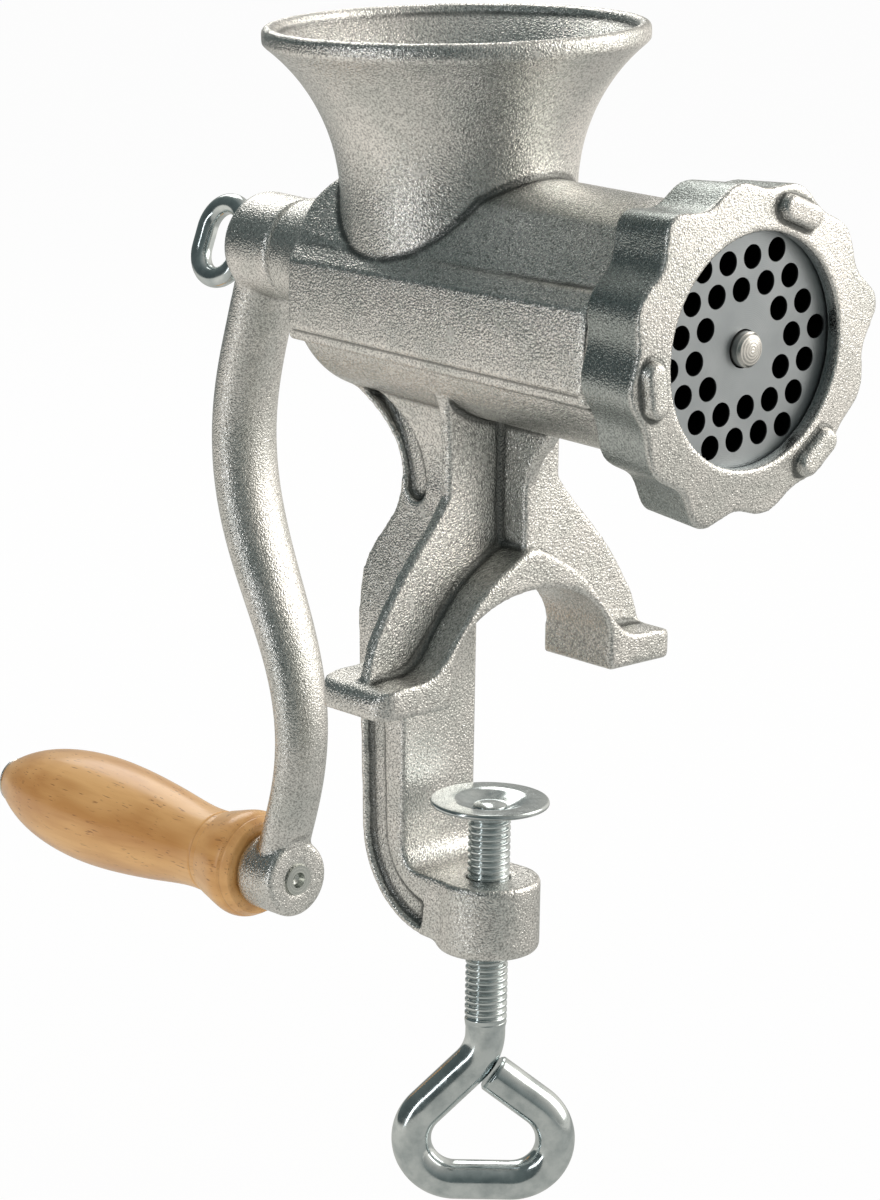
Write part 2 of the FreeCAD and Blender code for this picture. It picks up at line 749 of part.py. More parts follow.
def ring_nut():
    """Nut with a fluted outside, a coned face and three lugs for a key or the hand."""
    ends = [lobed_wire(RING_REAR_R, RING_REAR_Y), lobed_wire(RING_FRONT_R, RING_FRONT_Y)]
    fluted = Part.makeLoft(ends, True, True)
    reach = RING_FRONT_R + RING_WAVE + RING_EAR
    edge = 0.8
    envelope = turned_y(
        AXIS_Z,
        (0, RING_FRONT_Y),
        (RING_OPENING_R + 1.0, RING_FRONT_Y),
        (reach - edge, RING_FRONT_Y + RING_FACE_DROP),
        (reach + 0.4, RING_FRONT_Y + RING_FACE_DROP + edge + 0.4),
        (reach + 0.4, RING_REAR_Y),
        (0, RING_REAR_Y),
    )
    shell_r = COLLAR_R + THREAD_PLAY
    shoulder = PLATE_FRONT_Y - SEAT_GAP
    room = turned_y(
        AXIS_Z,
        (0, RING_REAR_Y + 1),
        (shell_r, RING_REAR_Y + 1),
        (shell_r, shoulder),
        (RING_OPENING_R, shoulder),
        (RING_OPENING_R, RING_FRONT_Y - 1),
        (0, RING_FRONT_Y - 1),
    )
    half = (LUG_LENGTH - LUG_WIDTH) / 2
    side = LUG_WIDTH / 2
    pill = outline(
        in_front,
        (LUG_CENTRE_R - side, AXIS_Z - half),
        ((LUG_CENTRE_R, AXIS_Z - half - side), (LUG_CENTRE_R + side, AXIS_Z - half)),
        (LUG_CENTRE_R + side, AXIS_Z + half),
        ((LUG_CENTRE_R, AXIS_Z + half + side), (LUG_CENTRE_R - side, AXIS_Z + half)),
    )
    face_y = RING_FRONT_Y + RING_FACE_DROP * (LUG_CENTRE_R - RING_OPENING_R) / (reach - RING_OPENING_R)
    lug = prism(pill, ALONG_Y, face_y - LUG_HEIGHT, face_y + RING_FACE_DROP)
    crown = [edge for edge in lug.Edges if edge.BoundBox.YMax < face_y - LUG_HEIGHT + 0.01]
    lug = lug.makeFillet(side * 0.45, crown)
    return fluted.common(envelope).cut(room).fuse(turned_copies(lug, LUG_COUNT, LUG_PHASE))


def hole_places():
    """Hole centres: a hexagonal lattice, second and third ring from the middle."""
    places = []
    for row in range(-3, 4):
        for step in range(-3, 4):
            ring = max(abs(row), abs(step), abs(row + step))
            if ring in (2, 3):
                x = HOLE_PITCH * (step + row / 2.0)
                z = HOLE_PITCH * row * math.sqrt(3) / 2
                places.append((x, z))
    return places


def cutting_plate():
    """Steel disc with the cutting holes, a hole for the stud and a notch for the key."""
    bevel = 0.5
    disc = turned_y(
        AXIS_Z,
        (0, PLATE_FRONT_Y),
        (PLATE_R - bevel, PLATE_FRONT_Y),
        (PLATE_R, PLATE_FRONT_Y + bevel),
        (PLATE_R, PLATE_BACK_Y),
        (0, PLATE_BACK_Y),
    )
    holes = [rod_y(STUD_HOLE_R, PLATE_FRONT_Y - 1, PLATE_BACK_Y + 1)]
    for x, z in hole_places():
        hole = rod_y(HOLE_R, PLATE_FRONT_Y - 1, PLATE_BACK_Y + 1)
        hole.translate(V(x, 0, z))
        hole.rotate(V(0, 0, AXIS_Z), ALONG_Y, -HOLE_TURN)
        holes.append(hole)
    notch_half = KEY_R + SEAT_GAP
    notch_top = AXIS_Z - MOUTH_R + KEY_REACH + SEAT_GAP
    corner = V(-notch_half, PLATE_FRONT_Y - 1, notch_top - FAR)
    notch = Part.makeBox(2 * notch_half, PLATE_THICK + 2, FAR, corner)
    return disc.cut(holes + [notch])


def worm():
    """Auger: a tapered core with a helical flight, a journal and a square tang."""
    length = WORM_REAR_Y - WORM_FRONT_Y
    helix = Part.makeHelix(WORM_PITCH, length + 2 * WORM_PITCH, WORM_R, 0, True)
    root_r = WORM_CORE_REAR_R * 0.7
    section = outline(
        in_front,
        (root_r, -FLIGHT_ROOT / 2),
        (WORM_R, -FLIGHT_TIP / 2),
        (WORM_R, FLIGHT_TIP / 2),
        (root_r, FLIGHT_ROOT / 2),
    )
    flight = Part.Wire(helix.Edges).makePipeShell([section], True, True)
    flight.translate(V(0, 0, -WORM_PITCH))
    flight.rotate(V(0, 0, 0), ALONG_X, 90)
    flight.translate(V(0, WORM_REAR_Y, AXIS_Z))
    reach = Part.makeBox(FAR, length, FAR, V(-FAR / 2, WORM_FRONT_Y, AXIS_Z - FAR / 2))
    core = turned_y(
        AXIS_Z,
        (0, TANG_END_Y),
        (JOURNAL_R, TANG_END_Y),
        (JOURNAL_R, WORM_REAR_Y),
        (WORM_CORE_REAR_R + 2.5, WORM_REAR_Y),
        (WORM_CORE_REAR_R, WORM_REAR_Y - 6.0),
        (WORM_CORE_FRONT_R, WORM_FRONT_Y),
        (0, WORM_FRONT_Y),
    )
    tang_room = rod_y(JOURNAL_R + 1, HUB_FRONT_Y, TANG_END_Y + 1)
    tang_room = tang_room.cut(square_y(TANG_SIDE, HUB_FRONT_Y - 1, TANG_END_Y + 2))
    thread = rod_y(THUMB_R + THREAD_PLAY, TANG_END_Y - THUMB_BITE - 1, TANG_END_Y + 1)
    socket = rod_y(STUD_SHANK_R, WORM_FRONT_Y - 1, WORM_FRONT_Y + STUD_SHANK_LENGTH)
    return core.fuse(flight.common(reach)).cut([tang_room, thread, socket])


def worm_stud():
    """Steel pin in the worm: shank, square for the knife and a round end in the plate."""
    square_front = KNIFE_FRONT_Y + SEAT_GAP
    tip_y = PLATE_FRONT_Y - STUD_PROUD
    bevel = 0.7
    pin = turned_y(
        AXIS_Z,
        (0, WORM_FRONT_Y + STUD_SHANK_LENGTH),
        (STUD_SHANK_R, WORM_FRONT_Y + STUD_SHANK_LENGTH),
        (STUD_SHANK_R, WORM_FRONT_Y),
        (STUD_R, square_front),
        (STUD_R, tip_y + bevel),
        (STUD_R - bevel, tip_y),
        dome(STUD_R - bevel, tip_y, tip_y - STUD_CROWN),
    )
    return pin.fuse(square_y(STUD_SQUARE, square_front, WORM_FRONT_Y))


def knife():
    """Four curved blades on a hub with a square hole."""
    inner = KNIFE_HUB_R * 0.6
    blade_outline = outline(
        in_front,
        (inner, -BLADE_WIDTH / 2),
        (KNIFE_R - 2.0, -BLADE_WIDTH / 2),
        (KNIFE_R, -BLADE_WIDTH / 2 + 2.5),
        ((KNIFE_R * 0.68, BLADE_WIDTH * 0.10), (inner, BLADE_WIDTH * 0.75)),
    )
    blade = prism(blade_outline, ALONG_Y, KNIFE_FRONT_Y, KNIFE_BACK_Y)
    blade.translate(V(0, 0, AXIS_Z))
    back_slope = outline(
        lambda z, y: V(0, y, AXIS_Z + z),
        (-BLADE_WIDTH / 2, KNIFE_BACK_Y),
        (BLADE_WIDTH, KNIFE_BACK_Y),
        (BLADE_WIDTH, KNIFE_BACK_Y - KNIFE_THICK * 0.6),
    )
    blade = blade.cut(prism(back_slope, ALONG_X, KNIFE_HUB_R, FAR))
    hub = rod_y(KNIFE_HUB_R, KNIFE_FRONT_Y, KNIFE_BACK_Y)
    square = square_y(STUD_SQUARE + 2 * TANG_PLAY, KNIFE_FRONT_Y - 1, KNIFE_BACK_Y + 1)
    return hub.fuse(turned_copies(blade, KNIFE_BLADES)).cut(square)


def thrust_washer():
    """Flat ring that takes the worm's push against the barrel's rear wall."""
    start = WORM_REAR_Y + SEAT_GAP
    disc = rod_y(WASHER_R, start, start + WASHER_THICK)
    return disc.cut(rod_y(JOURNAL_R + SEAT_GAP, start - 1, start + WASHER_THICK + 1))


def rear_bush():
    """Bearing sleeve pressed into the barrel's neck."""
    sleeve = rod_y(BEARING_R, BORE_REAR_Y, NECK_END_Y)
    return sleeve.cut(rod_y(JOURNAL_R + RUN_FIT, BORE_REAR_Y - 1, NECK_END_Y + 1))


def arm_line():
    """Centre line of the crank arm: an S in the middle plane, from hub to pivot boss."""
    hub_middle = (HUB_FRONT_Y + HUB_BACK_Y) / 2
    pivot_middle = (PIVOT_FRONT_Y + PIVOT_BACK_Y) / 2
    shape = ((0.03, 0.22), (0.18, 0.78), (0.29, 1.0), (0.41, 0.82), (0.56, 0.015), (0.66, -0.54), (0.74, -0.75),
             (0.82, -0.72), (0.92, -0.40))
    curve = Part.BSplineCurve()
    points = [V(0, hub_middle + ARM_SWING * swing, AXIS_Z - share * CRANK_RADIUS) for share, swing in shape]
    curve.interpolate(points + [V(0, pivot_middle, PIVOT_Z)])
    return curve


def crank_arm():
    """Cast crank: hub with a square socket, S-shaped oval arm and a pivot boss."""
    line = arm_line()
    sections = []
    stations = 13
    first, last = line.FirstParameter, line.LastParameter
    for index in range(stations):
        share = index / (stations - 1.0)
        spot = first + (last - first) * share
        heading = line.tangent(spot)[0]
        taper = (1 - math.cos(math.pi * min(1, max(0, (share - 0.36) / 0.5)))) / 2
        across = ARM_TOP_HALF_X + (ARM_END_HALF_X - ARM_TOP_HALF_X) * taper
        thick = ARM_TOP_HALF_Y + (ARM_END_HALF_Y - ARM_TOP_HALF_Y) * taper
        centre = line.value(spot)
        sideways = heading.cross(ALONG_X)
        ellipse = Part.Ellipse(centre + ALONG_X * across, centre + sideways * thick, centre)
        sections.append(Part.Wire(ellipse.toShape()))
    arm = Part.makeLoft(sections, True, False)
    round_r, edge = HUB_ROUND_R, CRANK_EDGE
    hub = turned_y(
        AXIS_Z,
        (0, HUB_FRONT_Y),
        (HUB_R - edge, HUB_FRONT_Y),
        (HUB_R, HUB_FRONT_Y + edge),
        (HUB_R, HUB_BACK_Y - round_r),
        (polar((HUB_R - round_r, HUB_BACK_Y - round_r), round_r, 45), (HUB_R - round_r, HUB_BACK_Y)),
        (0, HUB_BACK_Y),
    )
    pivot = turned_y(
        PIVOT_Z,
        (0, PIVOT_FRONT_Y),
        (PIVOT_R - edge, PIVOT_FRONT_Y),
        (PIVOT_R, PIVOT_FRONT_Y + edge),
        (PIVOT_R, PIVOT_BACK_Y - edge),
        (PIVOT_R - edge, PIVOT_BACK_Y),
        (0, PIVOT_BACK_Y),
    )
    socket = square_y(TANG_SIDE + 2 * TANG_PLAY, HUB_FRONT_Y - 1, TANG_END_Y + SEAT_GAP)
    screw_way = rod_y(THUMB_R + SEAT_GAP, HUB_FRONT_Y, HUB_BACK_Y + 1)
    pin_way = rod_y(SPINDLE_R, PIVOT_FRONT_Y - FAR, PIVOT_BACK_Y + FAR, PIVOT_Z)
    rivet_room = rod_y(SPINDLE_HEAD_R, PIVOT_FRONT_Y - FAR, PIVOT_FRONT_Y + SPINDLE_HEAD, PIVOT_Z)
    face_room = rod_y(PIVOT_R + 2, PIVOT_FRONT_Y - FAR, PIVOT_FRONT_Y, PIVOT_Z)
    back_room = rod_y(PIVOT_R + 2, PIVOT_BACK_Y, PIVOT_BACK_Y + FAR, PIVOT_Z)
    hub_room = rod_y(HUB_R + 2, HUB_BACK_Y, HUB_BACK_Y + FAR)
    joined = arm.cut([face_room, back_room, hub_room]).fuse([hub, pivot])
    return joined.cut([socket, screw_way, pin_way, rivet_room])


def crank_screw():
    """Thumb screw: a threaded shank with an oval wire ring."""
    ring_r = THUMB_REACH / 2 - THUMB_WIRE_R
    rear = HUB_BACK_Y + SEAT_GAP + THUMB_STANDOFF + THUMB_WIRE_R
    middle = rear + ring_r
    far = middle + ring_r
    rise = (THUMB_HEIGHT - THUMB_REACH) / 2
    up, down = AXIS_Z - THUMB_DROP + rise, AXIS_Z - THUMB_DROP - rise
    path = outline(
        in_side,
        (rear, down),
        (rear, up),
        ((middle, up + ring_r), (far, up)),
        (far, down),
        ((middle, down - ring_r), (rear, down)),
    )
    section = Part.Wire(Part.makeCircle(THUMB_WIRE_R, V(0, rear, down), ALONG_Z))
    ring = path.makePipeShell([section], True, False)
    ring.rotate(V(0, 0, AXIS_Z), ALONG_Y, THUMB_TURN)
    return ring.fuse(rod_y(THUMB_R, TANG_END_Y - THUMB_BITE, rear + THUMB_WIRE_R / 2))


def grip():
    """Turned wooden handle: bead, groove, waist, belly and tail, bored for the spindle."""
    length = GRIP_LENGTH
    bead_end = GRIP_FRONT_Y + 14.4
    handle = turned_y(
        PIVOT_Z,
        (0, GRIP_FRONT_Y),
        (GRIP_BEAD_R - 2.0, GRIP_FRONT_Y),
        [(GRIP_BEAD_R, GRIP_FRONT_Y + 4.5), (GRIP_BEAD_R - 0.3, GRIP_FRONT_Y + 7.6),
         (GRIP_BEAD_R - 1.2, GRIP_FRONT_Y + 10.8), (GRIP_WAIST_R + 1.2, bead_end)],
        (GRIP_WAIST_R + 1.0 - GRIP_GROOVE, bead_end + GRIP_GROOVE),
        [(GRIP_WAIST_R + 0.1, GRIP_FRONT_Y + 0.22 * length),
         (GRIP_WAIST_R + 1.7, GRIP_FRONT_Y + 0.36 * length),
         (GRIP_BELLY_R - 0.7, GRIP_FRONT_Y + 0.50 * length),
         (GRIP_BELLY_R, GRIP_FRONT_Y + 0.62 * length),
         (GRIP_BELLY_R - 1.1, GRIP_FRONT_Y + 0.78 * length),
         (GRIP_BELLY_R - 4.1, GRIP_FRONT_Y + 0.90 * length),
         (GRIP_TAIL_R + 0.8, GRIP_END_Y - 2.2),
         (GRIP_TAIL_R - 0.4, GRIP_END_Y)],
        (0, GRIP_END_Y),
    )
    return handle.cut(rod_y(SPINDLE_R + RUN_FIT, GRIP_FRONT_Y - 1, GRIP_END_Y + 1, PIVOT_Z))


def grip_spindle():
    """Pin through the grip, riveted over in the crank's boss with a dimpled head."""
    pin = rod_y(SPINDLE_R, PIVOT_FRONT_Y, CAP_FRONT_Y + CAP_THICK / 2, PIVOT_Z)
    head = rod_y(SPINDLE_HEAD_R, PIVOT_FRONT_Y - SPINDLE_HEAD / 2, PIVOT_FRONT_Y + SPINDLE_HEAD, PIVOT_Z)
    dimple = turned_y(
        PIVOT_Z,
        (0, PIVOT_FRONT_Y - SPINDLE_HEAD),
        (SPINDLE_DIMPLE_R + 0.3, PIVOT_FRONT_Y - SPINDLE_HEAD),
        (SPINDLE_DIMPLE_R - 0.5, PIVOT_FRONT_Y + 1.2),
        (0, PIVOT_FRONT_Y + 1.8),
    )
    return pin.fuse(head).cut(dimple)


def grip_cap():
    """Domed cap on the spindle's end that keeps the grip on."""
    cap = turned_y(
        PIVOT_Z,
        (0, CAP_FRONT_Y),
        (CAP_R, CAP_FRONT_Y),
        (CAP_R, CAP_FRONT_Y + CAP_THICK * 0.4),
        dome(CAP_R, CAP_FRONT_Y + CAP_THICK * 0.4, CAP_END_Y),
    )
    return cap.cut(rod_y(SPINDLE_R, CAP_FRONT_Y - 1, CAP_FRONT_Y + CAP_THICK / 2, PIVOT_Z))


def loop_path():
    """Wire of the clamp screw's loop: down from the rod, round two corners and back up."""
    corner = LOOP_CORNER_R
    reach = LOOP_HALF_WIDTH - LOOP_WIRE_R - corner
    low = LOOP_BOTTOM_Z + LOOP_WIRE_R + corner
    bend_z = SCREW_END_Z - LOOP_BEND_DROP
    butt_z = SCREW_END_Z - LOOP_BUTT_DROP

    def slant_from(top):
        lean_in = math.asin(corner / math.hypot(reach, top - low))
        return math.degrees(math.atan2(reach, top - low) + lean_in)

    slant, butt_slant = slant_from(bend_z), slant_from(butt_z)
    left, right = (-reach, low), (reach, low)
    turn_in = LOOP_BEND_R * math.tan(math.radians(slant / 2))
    down = (0, bend_z + turn_in)
    bend_centre = (-LOOP_BEND_R, down[1])
    away = polar(bend_centre, LOOP_BEND_R, -slant)
    clear = LOOP_WIRE_R * 0.38
    near = (clear, butt_z - clear / math.tan(math.radians(butt_slant)))
    left_low, right_low = polar(left, corner, 270), polar(right, corner, 270)
    corners = [
        (in_front(0, SCREW_END_Z + 2), None, in_front(*down)),
        (in_front(*down), in_front(*polar(bend_centre, LOOP_BEND_R, -slant / 2)), in_front(*away)),
        (in_front(*away), None, in_front(*polar(left, corner, 180 - slant))),
        (in_front(*polar(left, corner, 180 - slant)), in_front(*polar(left, corner, 225 - slant / 2)),
         in_front(*left_low)),
        (in_front(*left_low), None, in_front(*right_low)),
        (in_front(*right_low), in_front(*polar(right, corner, butt_slant / 2 - 45)),
         in_front(*polar(right, corner, butt_slant))),
        (in_front(*polar(right, corner, butt_slant)), None, in_front(*near)),
    ]
    edges = []
    for start, via, end in corners:
        curve = Part.LineSegment(start, end) if via is None else Part.Arc(start, via, end)
        edges.append(curve.toShape())
    return Part.Wire(edges)


def clamp_screw():
    """Threaded rod with a riveted tip for the pad and a loop handle bent from the same bar."""
    head_z = PAD_UNDER_Z + PAD_THICK - PAD_DISH + SEAT_GAP
    bevel = 0.8
    rod = turned_z(
        (0, SCREW_END_Z - 1),
        (LOOP_WIRE_R, SCREW_END_Z - 1),
        (LOOP_WIRE_R, SCREW_END_Z),
        (SCREW_R, SCREW_END_Z + bevel),
        (SCREW_R, SCREW_TOP_Z - bevel),
        (SCREW_NECK_R, SCREW_TOP_Z),
        (RIVET_R, SCREW_TOP_Z),
        (RIVET_R, head_z),
        (RIVET_HEAD_R, head_z),
        (RIVET_HEAD_R, head_z + RIVET_HEAD * 0.4),
        dome(RIVET_HEAD_R, head_z + RIVET_HEAD * 0.4, head_z + RIVET_HEAD),
    )
    path = loop_path()
    section = Part.Wire(Part.makeCircle(LOOP_WIRE_R, V(0, 0, SCREW_END_Z + 2), ALONG_Z))
    loop = path.makePipeShell([section], True, False)
    loop.rotate(V(0, 0, 0), ALONG_Z, LOOP_TURN)
    return rod.fuse(loop)


def clamp_pad():
    """Dished disc that presses up against the table's underside."""
    top = PAD_UNDER_Z + PAD_THICK
    hole = RIVET_R + RUN_FIT
    slope = PAD_DISH_R - PAD_CONE
    return turned_z(
        (hole, PAD_UNDER_Z - PAD_DISH),
        (slope, PAD_UNDER_Z - PAD_DISH),
        (PAD_DISH_R, PAD_UNDER_Z),
        (PAD_R - 0.5, PAD_UNDER_Z),
        ((PAD_R, PAD_UNDER_Z + PAD_THICK / 2), (PAD_R - 0.5, top)),
        (PAD_DISH_R - 0.8, top),
        (slope - 0.8, top - PAD_DISH),
        (hole, top - PAD_DISH),
    )


PIECES = (
    body, ring_nut, cutting_plate, plate_key, worm, worm_stud, knife, thrust_washer, rear_bush,
    crank_arm, crank_screw, grip, grip_spindle, grip_cap, clamp_screw, clamp_pad,
)

os.makedirs("parts", exist_ok=True)
for piece in PIECES:
    piece().removeSplitter().exportStep("parts/" + piece.__name__ + ".step")
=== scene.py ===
import logging
import math
from dataclasses import dataclass
from enum import Enum

import bmesh
import bpy
import numpy as np
from mathutils import Matrix


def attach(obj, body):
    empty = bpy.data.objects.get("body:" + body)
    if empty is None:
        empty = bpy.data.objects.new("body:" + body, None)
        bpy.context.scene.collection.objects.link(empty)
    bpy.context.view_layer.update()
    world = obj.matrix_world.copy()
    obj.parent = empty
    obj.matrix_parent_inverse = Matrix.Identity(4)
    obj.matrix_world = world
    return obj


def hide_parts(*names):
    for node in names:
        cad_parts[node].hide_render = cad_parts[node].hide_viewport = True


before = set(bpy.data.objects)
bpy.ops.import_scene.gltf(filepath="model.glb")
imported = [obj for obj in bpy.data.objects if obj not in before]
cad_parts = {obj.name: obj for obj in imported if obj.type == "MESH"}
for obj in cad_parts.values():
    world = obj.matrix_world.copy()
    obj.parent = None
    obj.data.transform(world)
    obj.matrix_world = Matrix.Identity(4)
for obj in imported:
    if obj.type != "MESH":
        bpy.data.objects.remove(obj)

LOG = logging.getLogger("grinder")
MM = 0.001
TURN = 2.0 * math.pi
AXIS_Z = 98.6
PIVOT_Z = -72.0
ALONG_BARREL = (0.0, 1.0, 0.0)
WHITE = (1.0, 1.0, 1.0)
MERGE = 2e-7
SKIN_MERGE = 1e-6
RELAX = 0.5
SKIN_PASSES = 4
RING_RATE = 20.0
RELIEF_PASSES = 2
MOST_TRIANGLES = 190000

Pair = tuple[float, float]
Triple = tuple[float, float, float]
Socket = bpy.types.NodeSocket
Piece = bpy.types.Object


class Around(Enum):
    """Axis along Y that a ground pattern goes round."""

    BARREL = (0.0, 0.0, AXIS_Z)
    GRIP = (0.0, 0.0, PIVOT_Z)


class Axis(Enum):
    """Direction of the axis that a profile is turned round."""

    Y = "along the barrel"
    Z = "up the clamp screw"


def smoothstep(low: float, high: float, value: np.ndarray) -> np.ndarray:
    """Ramp 3t^2 - 2t^3 of t, the value's place between low and high.

    Args:
        low: value at which the ramp leaves 0.
        high: value at which the ramp reaches 1.
        value: numbers to shape.

    Returns:
        The ramp, as an array like value.
    """
    t = np.clip((value - low) / (high - low), 0.0, 1.0)
    return t * t * (3.0 - 2.0 * t)


def spline(stations: np.ndarray, heights: np.ndarray, where: np.ndarray) -> np.ndarray:
    """Natural cubic spline through the given heights.

    The second derivatives m solve the usual tridiagonal system with m = 0 at both ends, and each
    span is the cubic that has these heights and second derivatives at its two ends.

    Args:
        stations: rising stations of the known heights.
        heights: heights at the stations.
        where: stations to evaluate.

    Returns:
        The spline's heights there.
    """
    gap = np.diff(stations)
    slope = np.diff(heights) / gap
    count = len(stations)
    system = np.eye(count)
    right = np.zeros(count)
    inner = np.arange(1, count - 1)
    system[inner, inner - 1] = gap[:-1]
    system[inner, inner] = 2.0 * (gap[:-1] + gap[1:])
    system[inner, inner + 1] = gap[1:]
    right[inner] = 6.0 * np.diff(slope)
    bend = np.linalg.solve(system, right)
    span = np.clip(np.searchsorted(stations, where) - 1, 0, count - 2)
    left = where - stations[span]
    rest = stations[span + 1] - where
    width = gap[span]
    cubic = (bend[span] * rest ** 3 + bend[span + 1] * left ** 3) / (6.0 * width)
    start = (heights[span] / width - bend[span] * width / 6.0) * rest
    end = (heights[span + 1] / width - bend[span + 1] * width / 6.0) * left
    return cubic + start + end


def linked(name: str, data: bpy.types.ID) -> Piece:
    """Adds an object to the scene, at the origin.

    Args:
        name: the object's name.
        data: its mesh, light or camera.

    Returns:
        The object.
    """
    thing = bpy.data.objects.new(name, data)
    bpy.context.scene.collection.objects.link(thing)
    return thing


def grid_object(name: str, points: np.ndarray, loop: bool = False) -> Piece:
    """Mesh object of quads on a grid of points, with doubled points merged.

    Corner (i, j) is joined to (i + 1, j), (i + 1, j + 1) and (i, j + 1), and the last column goes
    back to the first, as the last row does on a loop.

    Args:
        name: the object's name.
        points: array of rows, columns and 3 coordinates, in millimetres.
        loop: whether the rows close too.

    Returns:
        The object, in the scene.
    """
    rows, columns = points.shape[:2]
    i = np.arange(rows if loop else rows - 1)[:, None]
    j = np.arange(columns)[None, :]
    here, below = i * columns, (i + 1) % rows * columns
    beside = (j + 1) % columns
    quads = np.stack([here + j, here + beside, below + beside, below + j], axis=-1).reshape(-1, 4)
    mesh = bpy.data.meshes.new(name)
    mesh.from_pydata((points.reshape(-1, 3) * MM).tolist(), [], quads.tolist())
    work = bmesh.new()
    work.from_mesh(mesh)
    bmesh.ops.remove_doubles(work, verts=work.verts, dist=MERGE)
    bmesh.ops.recalc_face_normals(work, faces=work.faces)
    work.to_mesh(mesh)
    work.free()
    mesh.shade_smooth()
    mesh.update()
    return linked(name, mesh)


def joined(*parts: Piece) -> Piece:
    """One object that holds the meshes of several, under the first one's name.

    Args:
        parts: objects at the origin.

    Returns:
        The first object with all the meshes.
    """
    work = bmesh.new()
    for part in parts:
        work.from_mesh(part.data)
    work.to_mesh(parts[0].data)
    work.free()
    for part in parts[1:]:
        bpy.data.objects.remove(part)
    parts[0].data.shade_smooth()
    return parts[0]


def turned(profile: np.ndarray, columns: int, axis: Axis, centre: float = 0.0) -> np.ndarray:
    """Grid of a profile turned round an axis.

    Point (i, j) is the profile's point i, a radius r and a station s, at the angle
    a = 2 pi j / columns: (r cos a, s, centre + r sin a) round Y, or (r cos a, r sin a, s) round Z.

    Args:
        profile: array of radius and station pairs.
        columns: number of points round the axis.
        axis: the axis.
        centre: height of an axis along Y.

    Returns:
        The grid of points.
    """
    angle = np.arange(columns) * TURN / columns
    radius, station = profile[:, :1], profile[:, 1:]
    along = np.broadcast_to(station, (len(profile), columns))
    if axis is Axis.Y:
        return np.stack([radius * np.cos(angle), along, centre + radius * np.sin(angle)], axis=-1)
    return np.stack([radius * np.cos(angle), radius * np.sin(angle), along], axis=-1)


def rounded(corners: list[Triple], steps: int = 6) -> np.ndarray:
    """Profile through corners, each replaced by a quadratic curve.

    A corner P with a radius q becomes (1 - t)^2 A + 2 t (1 - t) P + t^2 B, where A and B lie q
    before and after P on the two straight runs that meet there.

    Args:
        corners: first coordinate, second coordinate and rounding of each corner.
        steps: number of spans in each rounding.

    Returns:
        The profile's points.
    """
    place = np.array([corner[:2] for corner in corners])
    t = np.linspace(0.0, 1.0, steps + 1)[:, None]
    runs = [place[:1]]
    for index in range(1, len(corners) - 1):
        here, q = place[index], corners[index][2]
        before, after = place[index - 1] - here, place[index + 1] - here
        first = here + before * q / np.linalg.norm(before)
        last = here + after * q / np.linalg.norm(after)
        runs.append((1 - t) ** 2 * first + 2 * t * (1 - t) * here + t ** 2 * last)
    runs.append(place[-1:])
    return np.concatenate(runs)


def arc(centre: Pair, radius: float, start: float, end: float, steps: int) -> np.ndarray:
    """Points centre + radius (cos a, sin a), with a running evenly between two angles.

    Args:
        centre: the arc's centre.
        radius: its radius.
        start: first angle in degrees.
        end: last angle in degrees.
        steps: number of points.

    Returns:
        The points.
    """
    angle = np.radians(np.linspace(start, end, steps))
    return np.array(centre) + radius * np.stack([np.cos(angle), np.sin(angle)], axis=-1)


def tube(path: np.ndarray, radius: np.ndarray, columns: int, closed: bool) -> np.ndarray:
    """Grid of a round section carried along a flat path.

    Point (i, j) is P + r (cos a) n + r (sin a) b, where n is the path's normal in its own plane
    and b the plane's normal, so that the section never twists.

    Args:
        path: points of the path in its plane.
        radius: section radius at each point.
        columns: number of points round the section.
        closed: whether the path is a loop.

    Returns:
        Grid whose coordinates are along the plane's first axis, across it, and along its second.
    """
    if closed:
        tangent = np.roll(path, -1, axis=0) - np.roll(path, 1, axis=0)
    else:
        tangent = np.gradient(path, axis=0)
    tangent = tangent / np.linalg.norm(tangent, axis=1, keepdims=True)
    normal = np.stack([-tangent[:, 1], tangent[:, 0]], axis=-1)
    angle = np.arange(columns) * TURN / columns
    out = radius[:, None] * np.cos(angle)
    first = path[:, :1] + out * normal[:, :1]
    second = path[:, 1:] + out * normal[:, 1:]
    across = radius[:, None] * np.sin(angle)
    return np.stack([first, np.broadcast_to(across, first.shape), second], axis=-1)


